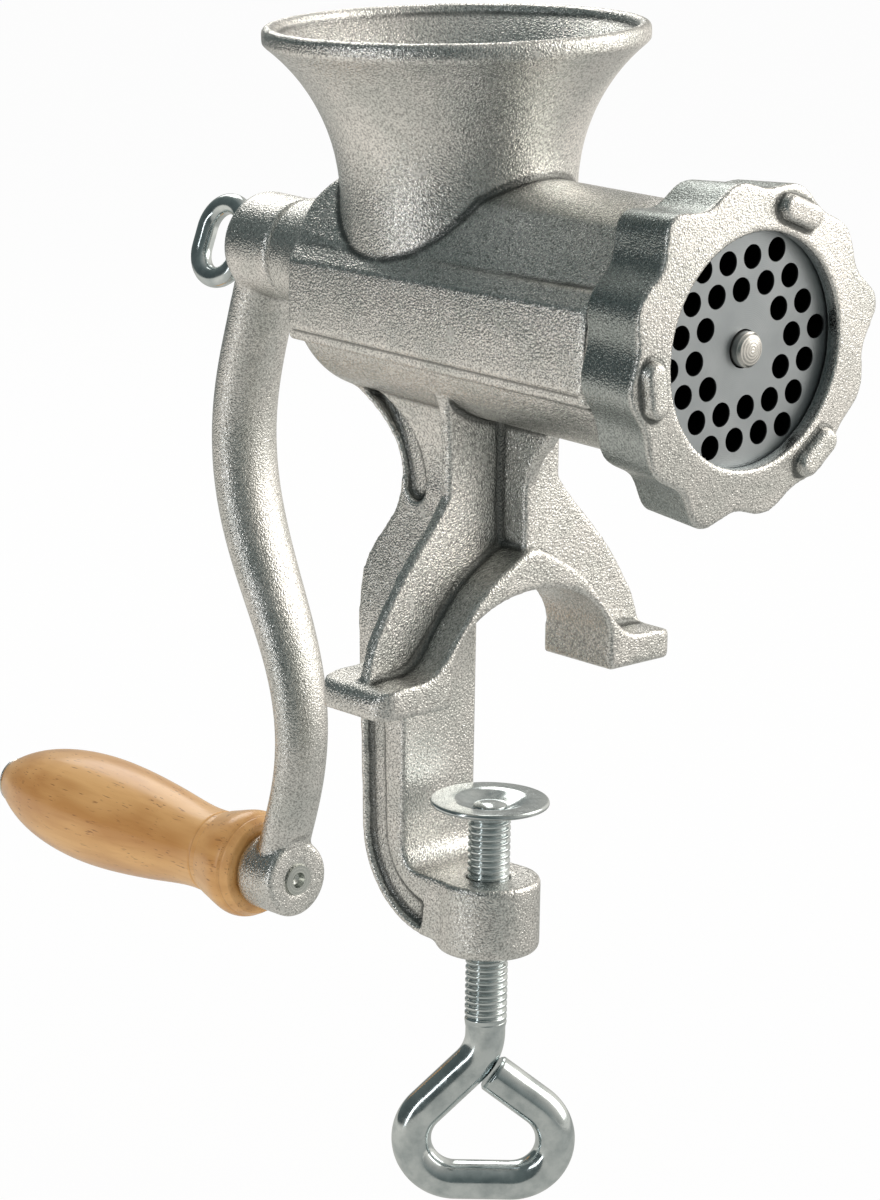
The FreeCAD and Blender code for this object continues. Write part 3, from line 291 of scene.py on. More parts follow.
class Nodes:
    """Small helper that lays out the nodes of one material or of the world."""

    def __init__(self, name: str, world: bool = False) -> None:
        """Starts a material with a Principled shader, or a world with its background.

        Args:
            name: the material's or the world's name.
            world: whether it is a world, whose coordinates are directions.
        """
        self.material = (bpy.data.worlds if world else bpy.data.materials).new(name)
        self.material.use_nodes = True
        self.tree = self.material.node_tree
        self.shader = self.tree.nodes["Background" if world else "Principled BSDF"]
        self.place = self.new("TexCoord").outputs["Generated" if world else "Object"]

    def new(self, kind: str, **inputs: object) -> bpy.types.Node:
        """Adds a shader node.

        Args:
            kind: its kind, without the beginning that all shader nodes share.
            inputs: its inputs' values, under names with underscores for spaces.

        Returns:
            The node.
        """
        node = self.tree.nodes.new("ShaderNode" + kind)
        self.fill(node, **inputs)
        return node

    def put(self, value: object, target: Socket) -> None:
        """Gives an input its value.

        Args:
            value: a socket to link it to, or a constant.
            target: the input.
        """
        if isinstance(value, Socket):
            self.tree.links.new(value, target)
        else:
            target.default_value = value

    def fill(self, node: bpy.types.Node, **inputs: object) -> None:
        """Gives a node's inputs their values, under names with underscores for spaces."""
        for key, value in inputs.items():
            self.put(value, node.inputs[key.replace("_", " ")])

    def feed(self, **inputs: object) -> None:
        """Gives the shader's own inputs their values."""
        self.fill(self.shader, **inputs)

    def mapped(self, scale: Triple, centre: Triple = (0.0, 0.0, 0.0)) -> Socket:
        """Object coordinates centred on a point in millimetres and stretched.

        Args:
            scale: factor along each axis.
            centre: the point that becomes the pattern's origin.

        Returns:
            The mapped coordinates.
        """
        shift = [-c * MM * s for c, s in zip(centre, scale)]
        node = self.new("Mapping", Vector=self.place, Scale=scale, Location=shift)
        return node.outputs["Vector"]

    def noise(self, size: float, detail: float = 2.0, rough: float = 0.5,
              where: Socket | None = None) -> Socket:
        """Noise whose lumps are about size millimetres across.

        Args:
            size: size of a lump in millimetres.
            detail: number of finer octaves.
            rough: strength of the finer octaves.
            where: coordinates, or the object's own if left out.

        Returns:
            The noise's value.
        """
        node = self.new("TexNoise", Scale=1.0 / (size * MM), Detail=detail, Roughness=rough,
                        Vector=where or self.place)
        return node.outputs["Fac"]

    def measured(self, operation: str, other: Triple) -> Socket:
        """Number made of the place and another vector.

        Args:
            operation: the vector operation.
            other: the other vector.

        Returns:
            The number.
        """
        node = self.new("VectorMath")
        node.operation = operation
        self.put(self.place, node.inputs[0])
        self.put(other, node.inputs[1])
        return node.outputs["Value"]

    def toward(self, direction: Triple) -> Socket:
        """Coordinate along a direction: the place, in metres, dotted with the direction."""
        return self.measured("DOT_PRODUCT", direction)

    def reach(self, centre: Triple) -> Socket:
        """Distance from a point, in metres."""
        return self.measured("DISTANCE", centre)

    def behind(self, face: float, edge: Pair) -> Socket:
        """Zero on a face across the barrel, and one behind it.

        Args:
            face: the face's place along the barrel, in millimetres.
            edge: how far behind it the change starts and ends, in millimetres.

        Returns:
            The share.
        """
        start, end = ((face + e) * MM for e in edge)
        return self.span(self.toward(ALONG_BARREL), start, end, 0.0, 1.0)

    def relief(self) -> Socket:
        """The skin's own relief.

        Returns:
            A number over zero in a hollow and under zero on an edge.
        """
        node = self.new("Attribute")
        node.attribute_name = "relief"
        return node.outputs["Fac"]

    def rings(self, size: float, around: Around, wobble: float) -> Socket:
        """Waves round an axis along Y: at scale 1 the node's wave runs RING_RATE radians a unit.

        Args:
            size: distance from one ring to the next in millimetres.
            around: the axis.
            wobble: how far the rings wander.

        Returns:
            The wave's value.
        """
        scale = TURN / RING_RATE / (size * MM)
        where = self.mapped((1.0, 1.0, 1.0), around.value)
        node = self.new("TexWave", Scale=scale, Distortion=wobble, Detail=2.0, Vector=where)
        node.wave_type = "RINGS"
        node.rings_direction = "Y"
        return node.outputs["Fac"]

    def ramp(self, value: Socket, *stops: tuple[float, Triple]) -> Socket:
        """Colour ramp over a value.

        Args:
            value: the value to look up.
            stops: place and colour of each stop.

        Returns:
            The colour.
        """
        node = self.new("ValToRGB", Fac=value)
        marks = node.color_ramp.elements
        while len(marks) < len(stops):
            marks.new(0.5)
        for mark, (place, colour) in zip(marks, stops):
            mark.position = place
            mark.color = (*colour, 1.0)
        return node.outputs["Color"]

    def span(self, value: Socket, low: float, high: float, to_low: float, to_high: float) -> Socket:
        """Value moved from one range to another and held inside it.

        Args:
            value: the value to move.
            low: start of its range.
            high: end of its range.
            to_low: result at low.
            to_high: result at high.

        Returns:
            The moved value.
        """
        node = self.new("MapRange", Value=value, From_Min=low, From_Max=high, To_Min=to_low,
                        To_Max=to_high)
        return node.outputs["Result"]

    def mix(self, kind: str, amount: Socket | float, first: Socket | Triple,
            second: Socket | Triple) -> Socket:
        """Mixes two colours.

        Args:
            kind: blend type, such as "MIX" or "MULTIPLY".
            amount: how much of the second.
            first: the first colour.
            second: the second colour.

        Returns:
            The mixed colour.
        """
        node = self.new("Mix")
        node.data_type = "RGBA"
        node.blend_type = kind
        for index, given in ((0, amount), (6, first), (7, second)):
            self.put((*given, 1.0) if isinstance(given, tuple) else given, node.inputs[index])
        return node.outputs[2]

    def bump(self, height: Socket, depth: float, strength: float,
             under: Socket | None = None) -> Socket:
        """Bump from a height.

        Args:
            height: the height, 0 to 1.
            depth: millimetres from 0 to 1.
            strength: how much of it shows.
            under: normal that it lies on.

        Returns:
            The bumped normal.
        """
        node = self.new("Bump", Height=height, Distance=depth * MM, Strength=strength)
        if under is not None:
            self.fill(node, Normal=under)
        return node.outputs["Normal"]

    def edges(self) -> Socket:
        """How far the surface stands out: over a half on an edge, under it in a corner."""
        return self.new("NewGeometry").outputs["Pointiness"]

    def ray(self, kind: str) -> Socket:
        """One for rays of a kind, such as "Is Glossy Ray", and zero for others."""
        return self.new("LightPath").outputs[kind]

    def seen(self, direct: float, mirrored: float, other: float) -> Socket:
        """Level by the kind of ray.

        Args:
            direct: level for rays from the camera or through glass.
            mirrored: level for rays off a shiny surface.
            other: level for the rest.

        Returns:
            The level.
        """
        levels = {"Is Camera Ray": direct, "Is Transmission Ray": direct, "Is Glossy Ray": mirrored}
        total: Socket | float = other
        for kind, level in levels.items():
            node = self.new("Math")
            node.operation = "MULTIPLY_ADD"
            for given, target in zip((self.ray(kind), level - other, total), node.inputs):
                self.put(given, target)
            total = node.outputs[0]
        return total


@dataclass(frozen=True)
class TinnedCasting:
    """Tin over sand-cast iron: silvery, with the mould's sandy grain. Sizes are in millimetres."""

    name: str
    light: Triple = (0.90, 0.89, 0.86)
    dull: Triple = (0.79, 0.80, 0.77)
    crease_shade: Triple = (0.10, 0.105, 0.10)
    rubbed_highlight: Triple = (0.97, 0.96, 0.93)
    flank_shade: Triple = (0.53, 0.58, 0.59)
    rough: Pair = (0.19, 0.28)
    grain: float = 0.48
    depth: float = 0.24
    pit: float = 1.2
    pit_shade: Pair = (0.50, 1.0)
    patch: float = 12.0
    gloss: float = 5.0
    wave: float = 4.0
    wave_depth: float = 0.20
    wave_strength: float = 0.22
    rubbed_highlight_level: float = 0.4
    edge: Pair = (-0.09, -0.03)
    crease_shade_level: float = 0.85
    hollow: Pair = (0.007, 0.036)
    face: float = 1000.0
    face_edge: Pair = (1.2, 3.0)

    def material(self) -> bpy.types.Material:
        """Sandy grain, rubbed edges lightened as a painted highlight, painted shade in hollows and
        on the flanks behind the face.

        Returns:
            The material.
        """
        n = Nodes(self.name)
        n.feed(Metallic=1.0)
        tone = n.ramp(n.noise(self.patch, 4.0, 0.6), (0.36, self.dull), (0.60, self.light))
        # painted shade: behind the face set by face the colour is multiplied down to a darker,
        # cooler tone
        flank_shade = n.behind(self.face, self.face_edge)
        tone = n.mix("MULTIPLY", flank_shade, tone, self.flank_shade)
        # rubbed tin with a painted highlight: edges of the relief are lightened toward a pale
        # colour
        tone = n.mix("MIX", n.span(n.relief(), *self.edge, self.rubbed_highlight_level, 0.0), tone, self.rubbed_highlight)
        pits = n.span(n.noise(self.grain * self.pit, 1.5), 0.30, 0.58, *self.pit_shade)
        tone = n.mix("MULTIPLY", 1.0, tone, pits)
        # painted shade: hollows and creases of the skin's relief are darkened toward a near-black
        # colour
        crease_shade_mask = n.span(n.relief(), *self.hollow, 0.0, self.crease_shade_level)
        n.feed(Base_Color=n.mix("MIX", crease_shade_mask, tone, self.crease_shade))
        n.feed(Roughness=n.span(n.noise(self.gloss, 3.0), 0.3, 0.7, *self.rough))
        waves = n.bump(n.noise(self.wave, 2.0), self.wave_depth, self.wave_strength)
        n.feed(Normal=n.bump(n.noise(self.grain, 1.0, 0.5), self.depth, 1.0, waves))
        return n.material


@dataclass(frozen=True)
class GroundSteel:
    """Steel ground flat, with faint rings from the wheel. Sizes are in millimetres."""

    name: str
    light: Triple = (0.40, 0.43, 0.45)
    dull: Triple = (0.34, 0.37, 0.39)
    behind_face_shade: Triple = (0.015, 0.018, 0.018)
    around: Around = Around.BARREL
    rough: Pair = (0.34, 0.46)
    cloud: float = 9.0
    ring: float = 0.45
    wobble: float = 1.5
    scratch: float = 0.5
    depth: float = 0.012
    face: float = 1000.0
    face_edge: Pair = (0.15, 0.7)

    def material(self) -> bpy.types.Material:
        """Wheel rings on cloudy steel, and painted shade behind its face.

        Returns:
            The material.
        """
        n = Nodes(self.name)
        n.feed(Metallic=1.0)
        rings = n.rings(self.ring, self.around, self.wobble)
        tone = n.ramp(n.noise(self.cloud, 4.0), (0.3, self.dull), (0.7, self.light))
        # painted shade: steel behind the face set by face goes to near black, as in the plate's
        # holes
        n.feed(Base_Color=n.mix("MIX", n.behind(self.face, self.face_edge), tone, self.behind_face_shade))
        n.feed(Roughness=n.span(rings, 0.0, 1.0, *self.rough))
        scratches = n.bump(n.noise(self.scratch, 2.0), self.depth, 0.5)
        n.feed(Normal=n.bump(rings, self.depth, 0.8, scratches))
        return n.material


@dataclass(frozen=True)
class BrightZinc:
    """Bright zinc plating, softly cloudy, with fine drawing marks. Sizes are in millimetres."""

    name: str
    light: Triple = (0.70, 0.75, 0.755)
    dull: Triple = (0.46, 0.515, 0.525)
    crease_shade: Triple = (0.22, 0.22, 0.21)
    rough: Pair = (0.10, 0.21)
    cloud: float = 6.0
    gloss: float = 2.0
    wave: float = 9.0
    wave_depth: float = 0.5
    mark: float = 0.6
    mark_depth: float = 0.02
    corner: Pair = (0.42, 0.49)
    crease_shade_level: float = 0.6

    def material(self) -> bpy.types.Material:
        """Cloudy colour and gloss, painted shade in corners, and a slight waviness.

        Returns:
            The material.
        """
        n = Nodes(self.name)
        n.feed(Metallic=1.0)
        tone = n.ramp(n.noise(self.cloud, 4.0, 0.6), (0.3, self.dull), (0.6, self.light))
        # painted shade: corners, where pointiness is low, are darkened toward a dark grey
        crease_shade_mask = n.span(n.edges(), *self.corner, self.crease_shade_level, 0.0)
        n.feed(Base_Color=n.mix("MIX", crease_shade_mask, tone, self.crease_shade))
        n.feed(Roughness=n.span(n.noise(self.gloss, 3.0), 0.3, 0.7, *self.rough))
        waves = n.bump(n.noise(self.wave, 1.0), self.wave_depth, 0.25)
        n.feed(Normal=n.bump(n.noise(self.mark, 2.0), self.mark_depth, 0.35, waves))
        return n.material


@dataclass(frozen=True)
class Beech:
    """Varnished beech with its grain along Y: soft bands, streaks and short flecks.

    Sizes are in millimetres across the grain, and each stretch is the pattern's scale along it.
    """

    name: str
    pale: Triple = (0.82, 0.465, 0.168)
    deep: Triple = (0.60, 0.285, 0.078)
    streaked: Triple = (0.80, 0.68, 0.52)
    fleck: Triple = (0.30, 0.12, 0.032)
    groove: Triple = (0.22, 0.09, 0.03)
    rough: Pair = (0.34, 0.46)
    band: float = 9.0
    band_stretch: float = 0.22
    streak: float = 1.3
    streak_stretch: float = 0.05
    pore: float = 0.45
    pore_stretch: float = 0.08
    patch: float = 4.5
    depth: float = 0.05
    corner: Pair = (0.40, 0.485)
    coat: float = 0.6
    coat_rough: float = 0.2

    def material(self) -> bpy.types.Material:
        """Growth bands, flecks in patches, dark turned lines and varnish.

        Returns:
            The material.
        """
        n = Nodes(self.name)
        n.feed(Coat_Weight=self.coat, Coat_Roughness=self.coat_rough)
        bands = n.noise(self.band, 2.0, 0.5, n.mapped((1.0, self.band_stretch, 1.0)))
        streaks = n.noise(self.streak, 3.0, 0.6, n.mapped((1.0, self.streak_stretch, 1.0)))
        pores = n.noise(self.pore, 1.0, 0.5, n.mapped((1.0, self.pore_stretch, 1.0)))
        tone = n.ramp(bands, (0.36, self.deep), (0.64, self.pale))
        tone = n.mix("MULTIPLY", n.span(streaks, 0.50, 0.68, 0.0, 0.30), tone, self.streaked)
        patches = n.span(n.noise(self.patch, 1.0), 0.46, 0.60, 0.0, 1.0)
        flecks = n.mix("MULTIPLY", 1.0, n.span(pores, 0.63, 0.70, 0.0, 0.9), patches)
        tone = n.mix("MIX", flecks, tone, self.fleck)
        lines = n.span(n.edges(), *self.corner, 0.8, 0.0)
        n.feed(Base_Color=n.mix("MIX", lines, tone, self.groove))
        n.feed(Roughness=n.span(bands, 0.3, 0.7, *self.rough))
        n.feed(Normal=n.bump(pores, self.depth, 0.3, n.bump(streaks, self.depth, 0.3)))
        return n.material


class Finishes:
    """The object's finishes, each made once."""

    def __init__(self) -> None:
        """Makes the materials."""
        self.casting = TinnedCasting("tinned_casting").material()
        # the ring nut's flanks behind its front face carry painted shade
        self.ring_casting = TinnedCasting(
            "tinned_casting_ring", grain=0.44, depth=0.20, face=-87.85,
        ).material()
        self.fine_casting = TinnedCasting(
            "tinned_casting_fine", grain=0.44, depth=0.21, crease_shade_level=0.3,
        ).material()
        # the plate's steel behind its front face carries painted shade
        self.plate = GroundSteel("plate_steel", face=-83.4).material()
        self.knife = GroundSteel(
            "knife_steel", light=(0.22, 0.23, 0.24), dull=(0.15, 0.16, 0.17),
        ).material()
        self.turned = GroundSteel(
            "turned_steel", light=(0.72, 0.71, 0.68), dull=(0.60, 0.59, 0.56), rough=(0.22, 0.36),
            ring=0.8, depth=0.05,
        ).material()
        self.rivet = GroundSteel(
            "rivet_steel", light=(0.66, 0.68, 0.65), dull=(0.48, 0.51, 0.48), around=Around.GRIP,
            rough=(0.22, 0.38), ring=0.9, depth=0.04,
        ).material()
        self.cap = GroundSteel(
            "cap_steel", light=(0.92, 0.92, 0.90), dull=(0.82, 0.83, 0.81), around=Around.GRIP,
            rough=(0.16, 0.26), ring=0.7,
        ).material()
        self.zinc = BrightZinc("bright_zinc").material()
        self.beech = Beech("varnished_beech").material()
        self.brass = GroundSteel(
            "bush_brass", light=(0.68, 0.50, 0.22), dull=(0.52, 0.37, 0.15), rough=(0.25, 0.40),
        ).material()


def finish_piece(piece: Piece, material: bpy.types.Material, body: str, slot: str,
                 *nodes: str) -> None:
    """Dresses a new piece, puts it on its body and lets it stand for CAD nodes.

    Args:
        piece: the new object.
        material: its material.
        body: the body that it rides on.
        slot: the record's material slot; not used.
        nodes: CAD nodes that it replaces.
    """
    piece.data.materials.clear()
    piece.data.materials.append(material)
    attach(piece, body)
    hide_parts(*nodes)
    LOG.info("%s: %d faces on %s", piece.name, len(piece.data.polygons), body)


def dress_node(node: str, material: bpy.types.Material) -> None:
    """Gives a CAD node its material.

    Args:
        node: the node's name.
        material: the material.
    """
    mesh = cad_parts[node].data
    mesh.materials.clear()
    mesh.materials.append(material)
    LOG.info("%s: kept from the model", node)


def evaluated(mesh: bpy.types.Mesh, kind: str, **settings: object) -> bpy.types.Mesh:
    """Mesh after one modifier.

    Args:
        mesh: the mesh, which is used up.
        kind: the modifier's type.
        settings: the modifier's settings.

    Returns:
        The new mesh.
    """
    bench = linked("bench", mesh)
    modifier = bench.modifiers.new(kind, kind)
    for key, value in settings.items():
        setattr(modifier, key, value)
    graph = bpy.context.evaluated_depsgraph_get()
    result = bpy.data.meshes.new_from_object(bench.evaluated_get(graph))
    bpy.data.objects.remove(bench)
    bpy.data.meshes.remove(mesh)
    return result


def cast_skin(node: str, name: str, voxel: float) -> Piece:
    """Copy of a CAD node with the soft corners of a sand casting.

    The copy is merged, remeshed in voxels and then relaxed: in each pass a point moves half way to
    the mean of its neighbours, p + 0.5 (mean - p), which rounds corners by about a voxel times the
    square root of the passes. The relief kept with each point is (mean - p) . n / voxel, relaxed
    twice in the same way. Flat stretches are then thinned to the allowed number of triangles.

    Args:
        node: the CAD node.
        name: the new object's name.
        voxel: voxel size in millimetres.

    Returns:
        The new object at the origin.
    """
    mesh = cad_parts[node].data.copy()
    work = bmesh.new()
    work.from_mesh(mesh)
    bmesh.ops.remove_doubles(work, verts=work.verts, dist=SKIN_MERGE)
    work.to_mesh(mesh)
    work.free()
    skin = evaluated(mesh, "REMESH", mode="VOXEL", voxel_size=voxel * MM)
    count = len(skin.vertices)
    place = np.empty(count * 3)
    skin.vertices.foreach_get("co", place)
    place = place.reshape(-1, 3)
    pairs = np.empty(len(skin.edges) * 2, dtype=np.int64)
    skin.edges.foreach_get("vertices", pairs)
    near, far = pairs.reshape(-1, 2).T
    neighbours = np.maximum(np.bincount(pairs, minlength=count), 1)

    def mean(values: np.ndarray) -> np.ndarray:
        """Mean over each point's neighbours.

        Args:
            values: rows of numbers, one row for each point.

        Returns:
            The means, as an array like values.
        """
        total = [
            np.bincount(near, column[far], count) + np.bincount(far, column[near], count)
            for column in values.T
        ]
        return np.stack(total, axis=-1) / neighbours[:, None]

    for _ in range(SKIN_PASSES):
        place = place + RELAX * (mean(place) - place)
    skin.vertices.foreach_set("co", place.ravel())
    skin.update()
    normal = np.empty(count * 3, dtype=np.float32)
    skin.vertices.foreach_get("normal", normal)
    normal = normal.reshape(-1, 3)
    relief = ((mean(place) - place) * normal).sum(axis=1, keepdims=True) / (voxel * MM)
    for _ in range(RELIEF_PASSES):
        relief = relief + RELAX * (mean(relief) - relief)
    skin.attributes.new("relief", "FLOAT", "POINT").data.foreach_set("value", relief.ravel())
    share = MOST_TRIANGLES / (2.0 * len(skin.polygons))
    skin = evaluated(skin, "DECIMATE", ratio=min(1.0, share))
    skin.shade_smooth()
    skin.update()
    skin.name = name
    return linked(name, skin)


@dataclass
class Casting:
    """The body with its hopper, barrel, feet, column and boss, and the fixed pieces inside it."""

    finishes: Finishes
    voxel: float = 0.65

    def build(self) -> None:
        """Makes the casting's skin and dresses the key, washer and bush."""
        skin = cast_skin("body", "casting_skin", self.voxel)
        finish_piece(skin, self.finishes.casting, "casting", "tinned_casting", "body")
        dress_node("plate_key", self.finishes.turned)
        dress_node("thrust_washer", self.finishes.turned)
        dress_node("rear_bush", self.finishes.brass)


@dataclass
class Outlet:
    """The ring nut, the plate, the knife and the worm with its stud."""

    finishes: Finishes
    voxel: float = 0.5

    def build(self) -> None:
        """Makes the nut's skin and dresses the plate, the knife, the worm and its stud."""
        skin = cast_skin("ring_nut", "ring_nut_skin", self.voxel)
        finish_piece(skin, self.finishes.ring_casting, "ring", "tinned_casting", "ring_nut")
        dress_node("cutting_plate", self.finishes.plate)
        dress_node("knife", self.finishes.knife)
        dress_node("worm", self.finishes.casting)
        dress_node("worm_stud", self.finishes.turned)


@dataclass
class Crank:
    """The crank arm with its thumb screw, its wooden grip and the grip's spindle and cap."""

    finishes: Finishes
    voxel: float = 0.55
    hub_back: float = 92.65
    tang_end: float = 84.45
    thumb_r: float = 4.0
    thumb_bite: float = 9.0
    thumb_wire: float = 2.75
    thumb_height: float = 25.4
    thumb_reach: float = 20.3
    thumb_standoff: float = 1.75
    thumb_turn: float = 20.0
    thumb_drop: float = 2.0
    play: float = 0.25
    grip_front: float = 87.7
    grip_length: float = 105.6
    bead_r: float = 14.6
    waist_r: float = 11.2
    belly_r: float = 15.3
    tail_r: float = 6.8
    bore_r: float = 3.58
    cap_r: float = 6.6
    cap_thick: float = 1.8
    bead_end: float = 14.4
    groove_at: float = 14.7
    swell_start: float = 15.0
    lines: tuple[float, ...] = (2.4, 14.8, 17.6)
    line_depth: float = 0.34
    line_width: float = 0.30
    bend_steps: int = 40
    wire_columns: int = 28
    shank_columns: int = 40
    grip_rows: int = 520
    grip_columns: int = 96
    cap_columns: int = 56

    def thumb_screw(self) -> Piece:
        """Oval wire ring on a shank.

        The ring is a round section along two straight sides and two half circles, and the shank is
        a turned rod that ends in the ring's wire.

        Returns:
            The joined piece.
        """
        radius = self.thumb_reach / 2 - self.thumb_wire
        rear = self.hub_back + self.play + self.thumb_standoff + self.thumb_wire
        middle = rear + radius
        rise = (self.thumb_height - self.thumb_reach) / 2
        top, low = AXIS_Z - self.thumb_drop + rise, AXIS_Z - self.thumb_drop - rise
        path = np.concatenate([
            arc((middle, top), radius, 0.0, 180.0, self.bend_steps),
            arc((middle, low), radius, 180.0, 360.0, self.bend_steps),
        ])
        grid = tube(path, np.full(len(path), self.thumb_wire), self.wire_columns, True)
        y, x, z = np.moveaxis(grid, -1, 0)
        z = z - AXIS_Z
        angle = math.radians(self.thumb_turn)
        cos, sin = math.cos(angle), math.sin(angle)
        ring = np.stack([x * cos + z * sin, y, AXIS_Z + z * cos - x * sin], axis=-1)
        eye = grid_object("thumb_ring", ring, loop=True)
        start, shank_r = self.tang_end - self.thumb_bite, self.thumb_r - 0.05
        profile = rounded([
            (0.0, start, 0.0), (shank_r, start, 0.5), (shank_r, rear, 0.4), (0.0, rear, 0.0),
        ])
        shank = grid_object("thumb_shank", turned(profile, self.shank_columns, Axis.Y, AXIS_Z))
        return joined(eye, shank)

    def grip_profile(self) -> np.ndarray:
        """Profile of the turned grip from the bore's front edge to its rear edge.

        The bead and the long swell are cubic splines through a few radii, parted by a groove, and
        scored lines are cut in as narrow bells of depth exp(-(s / w)^2).

        Returns:
            Radius and station pairs.
        """
        front, length = self.grip_front, self.grip_length
        bead_r, waist_r, belly_r, tail_r = self.bead_r, self.waist_r, self.belly_r, self.tail_r
        station = np.linspace(0.0, length, self.grip_rows)
        bead = np.array([
            (0.0, bead_r - 2.0), (4.5, bead_r), (7.6, bead_r - 0.3), (10.8, bead_r - 1.2),
            (self.bead_end, waist_r + 1.2),
        ])
        swell = np.array([
            (self.swell_start, waist_r + 0.4), (0.22 * length, waist_r + 0.1),
            (0.36 * length, waist_r + 1.7), (0.50 * length, belly_r - 0.7),
            (0.62 * length, belly_r), (0.78 * length, belly_r - 1.1),
            (0.90 * length, belly_r - 4.1), (length - 2.2, tail_r + 0.8), (length, tail_r - 0.4),
        ])
        radius = np.where(
            station < self.groove_at, spline(*bead.T, np.minimum(station, self.bead_end)),
            spline(*swell.T, np.maximum(station, self.swell_start)),
        )
        for line in self.lines:
            radius = radius - self.line_depth * np.exp(-((station - line) / self.line_width) ** 2)
        outer = np.stack([radius, front + station], axis=-1)
        start = np.array([[self.bore_r, front], [radius[0] - 0.8, front]])
        end = np.array([[self.bore_r, front + length]])
        return np.concatenate([start, outer, end, start[:1]])

    def cap(self) -> Piece:
        """Domed cap with a short rim, turned round the grip's axis.

        Returns:
            The cap.
        """
        face = self.grip_front + self.grip_length + self.play
        back = face + self.cap_thick
        r = self.cap_r
        profile = rounded([
            (0.0, face, 0.0), (r - 0.3, face, 0.25), (r, face + 0.45, 0.3),
            (r * 0.78, back - 0.35, 1.2), (0.0, back, 0.0),
        ], 8)
        return grid_object("grip_end_cap", turned(profile, self.cap_columns, Axis.Y, PIVOT_Z))

    def build(self) -> None:
        """Makes and dresses the crank's pieces."""
        looks = self.finishes
        skin = cast_skin("crank_arm", "crank_skin", self.voxel)
        finish_piece(skin, looks.fine_casting, "drive", "tinned_casting", "crank_arm")
        finish_piece(self.thumb_screw(), looks.zinc, "thumb_screw", "zinc_plate", "crank_screw")
        wood = turned(self.grip_profile(), self.grip_columns, Axis.Y, PIVOT_Z)
        finish_piece(grid_object("turned_grip", wood), looks.beech, "handle", "grip_wood", "grip")
        finish_piece(self.cap(), looks.cap, "drive", "bright_steel", "grip_cap")
        dress_node("grip_spindle", looks.rivet)


